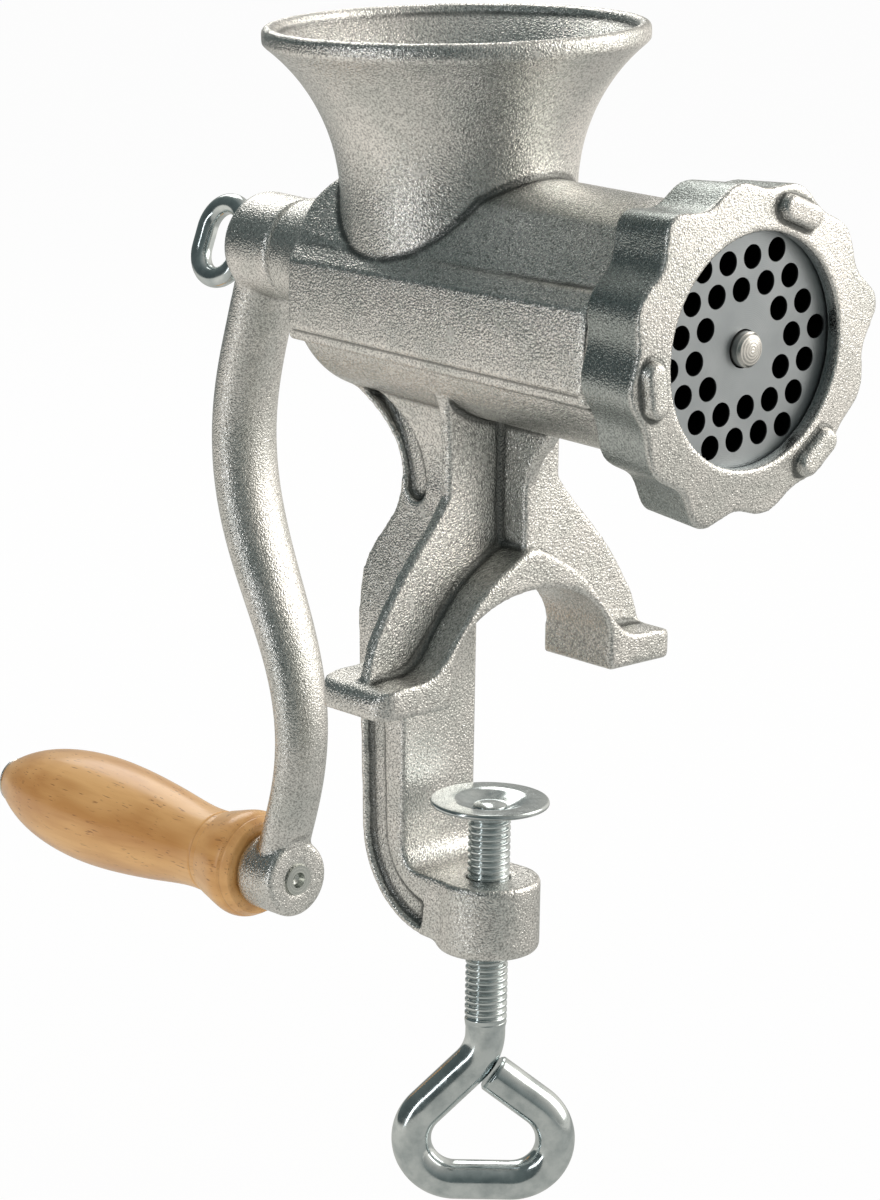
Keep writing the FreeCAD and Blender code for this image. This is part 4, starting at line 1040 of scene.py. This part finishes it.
@dataclass
class Clamp:
    """The clamp screw with its thread and loop handle, and the dished pad."""

    finishes: Finishes
    screw_r: float = 5.46
    pitch: float = 1.75
    thread_depth: float = 0.85
    flank_rate: float = 2.7
    crest: float = 0.42
    thread_top: float = -36.0
    thread_end: float = -93.5
    rivet_r: float = 3.2
    rivet_head_r: float = 4.4
    rivet_head: float = 1.2
    wire_r: float = 5.15
    half_width: float = 23.8
    bottom: float = -140.6
    corner_r: float = 11.5
    loop_turn: float = -43.0
    bend_r: float = 13.0
    bend_drop: float = 6.7
    butt_drop: float = 10.8
    pad_r: float = 15.3
    pad_under: float = -33.55
    pad_thick: float = 1.5
    pad_dish: float = 2.2
    pad_dish_r: float = 10.5
    pad_cone: float = 4.6
    play: float = 0.25
    run_out: float = 4.5
    tip_chamfer: float = 0.7
    cut_chamfer: float = 0.5
    cut_run: float = 0.6
    cut_ring: float = 0.94
    butt_gap: float = 1.957
    rows_per_turn: int = 14
    columns: int = 56
    bend_steps: int = 16
    corner_steps: int = 36
    loop_rows: int = 260
    loop_columns: int = 44
    pad_columns: int = 96

    def thread(self) -> Piece:
        """Rod with a right-hand thread.

        The radius at a height z and an angle a is R - d w(z / pitch - a / 2 pi), where w is a wave
        with a flat crest, straight flanks and a sharp root. It fades out at the rod's lower end,
        where the radius comes down to the loop's bar, and a chamfer ends it at the top.

        Returns:
            The rod.
        """
        top, end = self.thread_top, self.thread_end
        rows = int((top - end) / self.pitch * self.rows_per_turn)
        z = np.linspace(end, top, rows)[:, None]
        angle = np.arange(self.columns)[None, :] * TURN / self.columns
        phase = np.mod(z / self.pitch - angle / TURN, 1.0)
        wave = np.clip(np.abs(phase - 0.5) * self.flank_rate - self.crest, 0.0, 1.0)
        fade = smoothstep(end + 1.0, end + self.run_out, z)
        radius = self.screw_r - self.thread_depth * wave * fade
        radius = radius - self.tip_chamfer * smoothstep(top - 0.9, top, z)
        radius = radius - (self.screw_r - self.wire_r) * smoothstep(end + 2.0, end, z)
        up = np.broadcast_to(z, radius.shape)
        grid = np.stack([radius * np.cos(angle), radius * np.sin(angle), up], axis=-1)
        return grid_object("clamp_screw_thread", grid)

    def tip(self) -> Piece:
        """Rivet at the rod's top: a turned neck and a low domed head.

        Returns:
            The rivet.
        """
        seat = self.pad_under + self.pad_thick - self.pad_dish + self.play
        head, r = seat + self.rivet_head, self.rivet_head_r
        profile = rounded([
            (self.screw_r - 0.72, self.thread_top, 0.0), (self.rivet_r, self.thread_top, 0.05),
            (self.rivet_r, seat, 0.05), (r, seat, 0.15), (r, seat + 0.5, 0.35),
            (r * 0.6, head - 0.15, 0.8), (0.0, head, 0.0),
        ], 5)
        return grid_object("clamp_rivet", turned(profile, self.columns, Axis.Z))

    def loop_path(self) -> np.ndarray:
        """Path of the loop handle: down, out along a slant, round two corners and back to the rod.

        Each slant is the tangent from a point below the rod to a corner's circle: its lean is
        atan(reach / drop) + asin(corner radius / distance).

        Returns:
            Points across and up in the loop's plane.
        """
        reach = self.half_width - self.wire_r - self.corner_r
        low = self.bottom + self.wire_r + self.corner_r
        bend, butt = self.thread_end - self.bend_drop, self.thread_end - self.butt_drop

        def lean(top: float) -> float:
            """Lean of a slant.

            Args:
                top: height at which it leaves the rod's axis.

            Returns:
                The lean in degrees.
            """
            drop = top - low
            turn = math.asin(self.corner_r / math.hypot(reach, drop))
            return math.degrees(math.atan2(reach, drop) + turn)

        slant, back = lean(bend), lean(butt)
        start = bend + self.bend_r * math.tan(math.radians(slant / 2))
        near = (self.butt_gap, butt - self.butt_gap / math.tan(math.radians(back)))
        runs = [
            np.array([[0.0, self.thread_end + 2.0]]),
            arc((-self.bend_r, start), self.bend_r, 0.0, -slant, self.bend_steps),
            arc((-reach, low), self.corner_r, 180.0 - slant, 270.0, self.corner_steps),
            arc((reach, low), self.corner_r, -90.0, back, self.corner_steps),
            np.array([near]),
        ]
        return np.concatenate(runs)

    def loop(self) -> Piece:
        """Round bar along the loop's path, cut flat at its free end.

        Returns:
            The loop, turned about the rod's axis.
        """
        path = self.loop_path()
        span = np.linalg.norm(np.diff(path, axis=0), axis=1)
        along = np.concatenate([[0.0], np.cumsum(span)])
        end = along[-1]
        even = np.linspace(0.0, end - self.cut_run, self.loop_rows)
        even = np.concatenate([even, end - np.array([0.4, 0.2, 0.0])])
        path = np.stack([np.interp(even, along, path[:, k]) for k in range(2)], axis=-1)
        radius = self.wire_r - self.cut_chamfer * smoothstep(end - self.cut_run, end, even)
        grid = tube(path, radius, self.loop_columns, False)
        middle = np.broadcast_to(grid[-1].mean(axis=0), grid[-1:].shape)
        inner = middle + (grid[-1:] - middle) * self.cut_ring
        x, y, z = np.moveaxis(np.concatenate([grid, inner, middle]), -1, 0)
        angle = math.radians(self.loop_turn)
        cos, sin = math.cos(angle), math.sin(angle)
        grid = np.stack([x * cos - y * sin, x * sin + y * cos, z], axis=-1)
        return grid_object("clamp_loop", grid)

    def pad(self) -> Piece:
        """Dished disc: a flat rim, a sloping step and a sunk middle with a hole, turned round Z.

        Returns:
            The pad.
        """
        under, top = self.pad_under, self.pad_under + self.pad_thick
        hole, slope, r = self.rivet_r + 0.08, self.pad_dish_r - self.pad_cone, self.pad_r
        sunk_under, sunk_top, dish_r = under - self.pad_dish, top - self.pad_dish, self.pad_dish_r
        profile = rounded([
            (hole, sunk_under, 0.0), (slope, sunk_under, 0.9), (dish_r, under, 1.1),
            (r - 0.2, under, 0.5), (r, under + self.pad_thick * 0.5, 0.4), (r - 0.3, top, 0.4),
            (dish_r - 0.8, top, 1.1), (slope - 0.8, sunk_top, 0.9), (hole, sunk_top, 0.0),
            (hole, sunk_under, 0.0),
        ])
        return grid_object("pressed_pad", turned(profile, self.pad_columns, Axis.Z))

    def build(self) -> None:
        """Makes and dresses the clamp's pieces."""
        screw = joined(self.thread(), self.tip(), self.loop())
        screw.name = "clamp_screw_bar"
        finish_piece(screw, self.finishes.zinc, "screw", "zinc_plate", "clamp_screw")
        finish_piece(self.pad(), self.finishes.zinc, "pad", "zinc_plate", "clamp_pad")


def placed(right: np.ndarray, up: np.ndarray, back: np.ndarray, place: np.ndarray) -> Matrix:
    """Matrix that stands a lamp or a camera somewhere.

    Args:
        right: its first axis.
        up: its second axis.
        back: its third axis, which points away from what it looks at.
        place: its place in metres.

    Returns:
        The matrix with these columns.
    """
    return Matrix(np.vstack([np.column_stack([right, up, back, place]), (0, 0, 0, 1)]).tolist())


@dataclass(frozen=True)
class Lamp:
    """A soft box: a rectangular area light aimed at a point."""

    name: str
    place: Triple
    size: Pair
    power: float
    colour: Triple
    aim: Triple = (0.0, 20.0, 40.0)

    def build(self) -> None:
        """Makes the light, in metres, facing its aim."""
        light = bpy.data.lights.new(self.name, "AREA")
        light.shape = "RECTANGLE"
        light.size, light.size_y = (s * MM for s in self.size)
        light.energy = self.power
        light.color = self.colour
        lamp = linked(self.name, light)
        place, aim = np.array(self.place) * MM, np.array(self.aim) * MM
        back = (place - aim) / np.linalg.norm(place - aim)
        right = np.cross((0.0, 0.0, 1.0), back)
        right = right / np.linalg.norm(right)
        lamp.matrix_world = placed(right, np.cross(back, right), back, place)


@dataclass
class Studio:
    """The floor, the soft lights, the pale surroundings and the camera."""

    floor_z: float = -160.0
    floor_rings: tuple[float, ...] = (9000.0, 2000.0, 500.0, 0.0)
    floor_columns: int = 64
    azimuth: float = -43.1633
    elevation: float = 14.6385
    roll: float = 1.00404
    focal: float = 5023.387
    image_height: float = 1200.0
    across: float = -13.2856
    rise: float = 19.5635
    distance: float = 1271.5112
    sensor: float = 36.0
    clip: Pair = (0.05, 60.0)
    floor_colour: Triple = (0.86, 0.86, 0.86)
    floor_glow: float = 0.95
    floor_sides: Pair = (-0.7, 0.7)
    room_level: float = 0.62
    lamps: tuple[Lamp, ...] = (
        Lamp("key_box", (900.0, -620.0, 520.0), (900.0, 1000.0), 6.0, (1.0, 0.965, 0.91)),
        Lamp("left_strip", (-1100.0, 120.0, 160.0), (150.0, 900.0), 1.7, (0.98, 0.99, 1.0)),
        Lamp("top_box", (470.0, 900.0, 820.0), (700.0, 700.0), 4.2, (1.0, 0.97, 0.92)),
    )
    bright_side: Triple = (0.90, -0.33, 0.28)
    near: Triple = (0.78, 0.745, 0.685)
    near_centre: Triple = (-0.55, 0.55, -0.14)
    near_reach: Pair = (0.40, 1.25)
    mirrored: tuple[tuple[float, Triple], ...] = (
        (0.0, (0.075, 0.09, 0.09)), (0.36, (0.12, 0.145, 0.142)), (0.55, (0.27, 0.29, 0.28)),
        (0.72, (0.40, 0.395, 0.37)), (0.82, (0.57, 0.55, 0.51)), (0.93, (0.87, 0.83, 0.765)),
    )

    def floor(self) -> None:
        """Pale disc under the object that looks white to the camera and keeps a soft shadow.

        Metal sees it bright near the object and on the right, and dim on the far left.
        """
        profile = np.array([(radius, self.floor_z) for radius in self.floor_rings])
        disc = grid_object("pale_floor", turned(profile, self.floor_columns, Axis.Z))
        n = Nodes("pale_floor")
        n.feed(Base_Color=(*self.floor_colour, 1.0), Roughness=0.9, Specular_IOR_Level=0.0)
        side = n.span(n.toward(self.bright_side), *self.floor_sides, 0.0, 1.0)
        side = n.ramp(side, *self.mirrored)
        close = n.span(n.reach(self.near_centre), *self.near_reach, 1.0, 0.0)
        side = n.mix("LIGHTEN", close, side, self.near)
        glow = n.new("Emission", Color=n.mix("MIX", n.ray("Is Glossy Ray"), WHITE, side))
        level = n.seen(self.floor_glow, self.floor_glow, 0.0)
        mixer = n.new("MixShader")
        for given, target in zip((level, n.shader.outputs[0], glow.outputs[0]), mixer.inputs):
            n.put(given, target)
        n.fill(n.tree.nodes["Material Output"], Surface=mixer.outputs[0])
        disc.data.materials.append(n.material)

    def surroundings(self) -> None:
        """World: white where it is seen, a room with one bright side in metal, and a soft light."""
        n = Nodes("pale_room", world=True)
        bpy.context.scene.world = n.material
        side = n.ramp(n.span(n.toward(self.bright_side), -1.0, 1.0, 0.0, 1.0), *self.mirrored)
        n.feed(Color=n.mix("MIX", n.ray("Is Glossy Ray"), WHITE, side))
        n.feed(Strength=n.seen(1.0, 1.0, self.room_level))

    def camera(self) -> None:
        """Camera at the photograph's angle.

        Its back axis is (sin a cos e, -cos a cos e, sin e) for the azimuth a and the elevation e,
        and its right and up axes are turned about it by the roll.
        """
        a, e, turn = (math.radians(v) for v in (self.azimuth, self.elevation, self.roll))
        back = np.array([math.sin(a) * math.cos(e), -math.cos(a) * math.cos(e), math.sin(e)])
        right = np.array([math.cos(a), math.sin(a), 0.0])
        up = np.cross(back, right)
        side = right * math.cos(turn) + up * math.sin(turn)
        top = up * math.cos(turn) - right * math.sin(turn)
        place = (side * self.across + top * self.rise + back * self.distance) * MM
        data = bpy.data.cameras.new("photo_camera")
        data.sensor_fit = "VERTICAL"
        data.sensor_height = self.sensor
        data.lens = self.focal / self.image_height * self.sensor
        data.clip_start, data.clip_end = self.clip
        camera = linked("photo_camera", data)
        camera.matrix_world = placed(side, top, back, place)
        bpy.context.scene.camera = camera

    def build(self) -> None:
        """Sets up the whole studio."""
        self.floor()
        self.surroundings()
        self.camera()
        for lamp in self.lamps:
            lamp.build()
        bpy.context.scene.view_settings.view_transform = "Standard"


def main() -> None:
    """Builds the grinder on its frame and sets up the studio."""
    logging.basicConfig(level=logging.INFO, format="%(name)s %(message)s")
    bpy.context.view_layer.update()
    finishes = Finishes()
    for assembly in (Casting(finishes), Outlet(finishes), Crank(finishes), Clamp(finishes)):
        assembly.build()
    Studio().build()


if __name__ == "__main__":
    main()
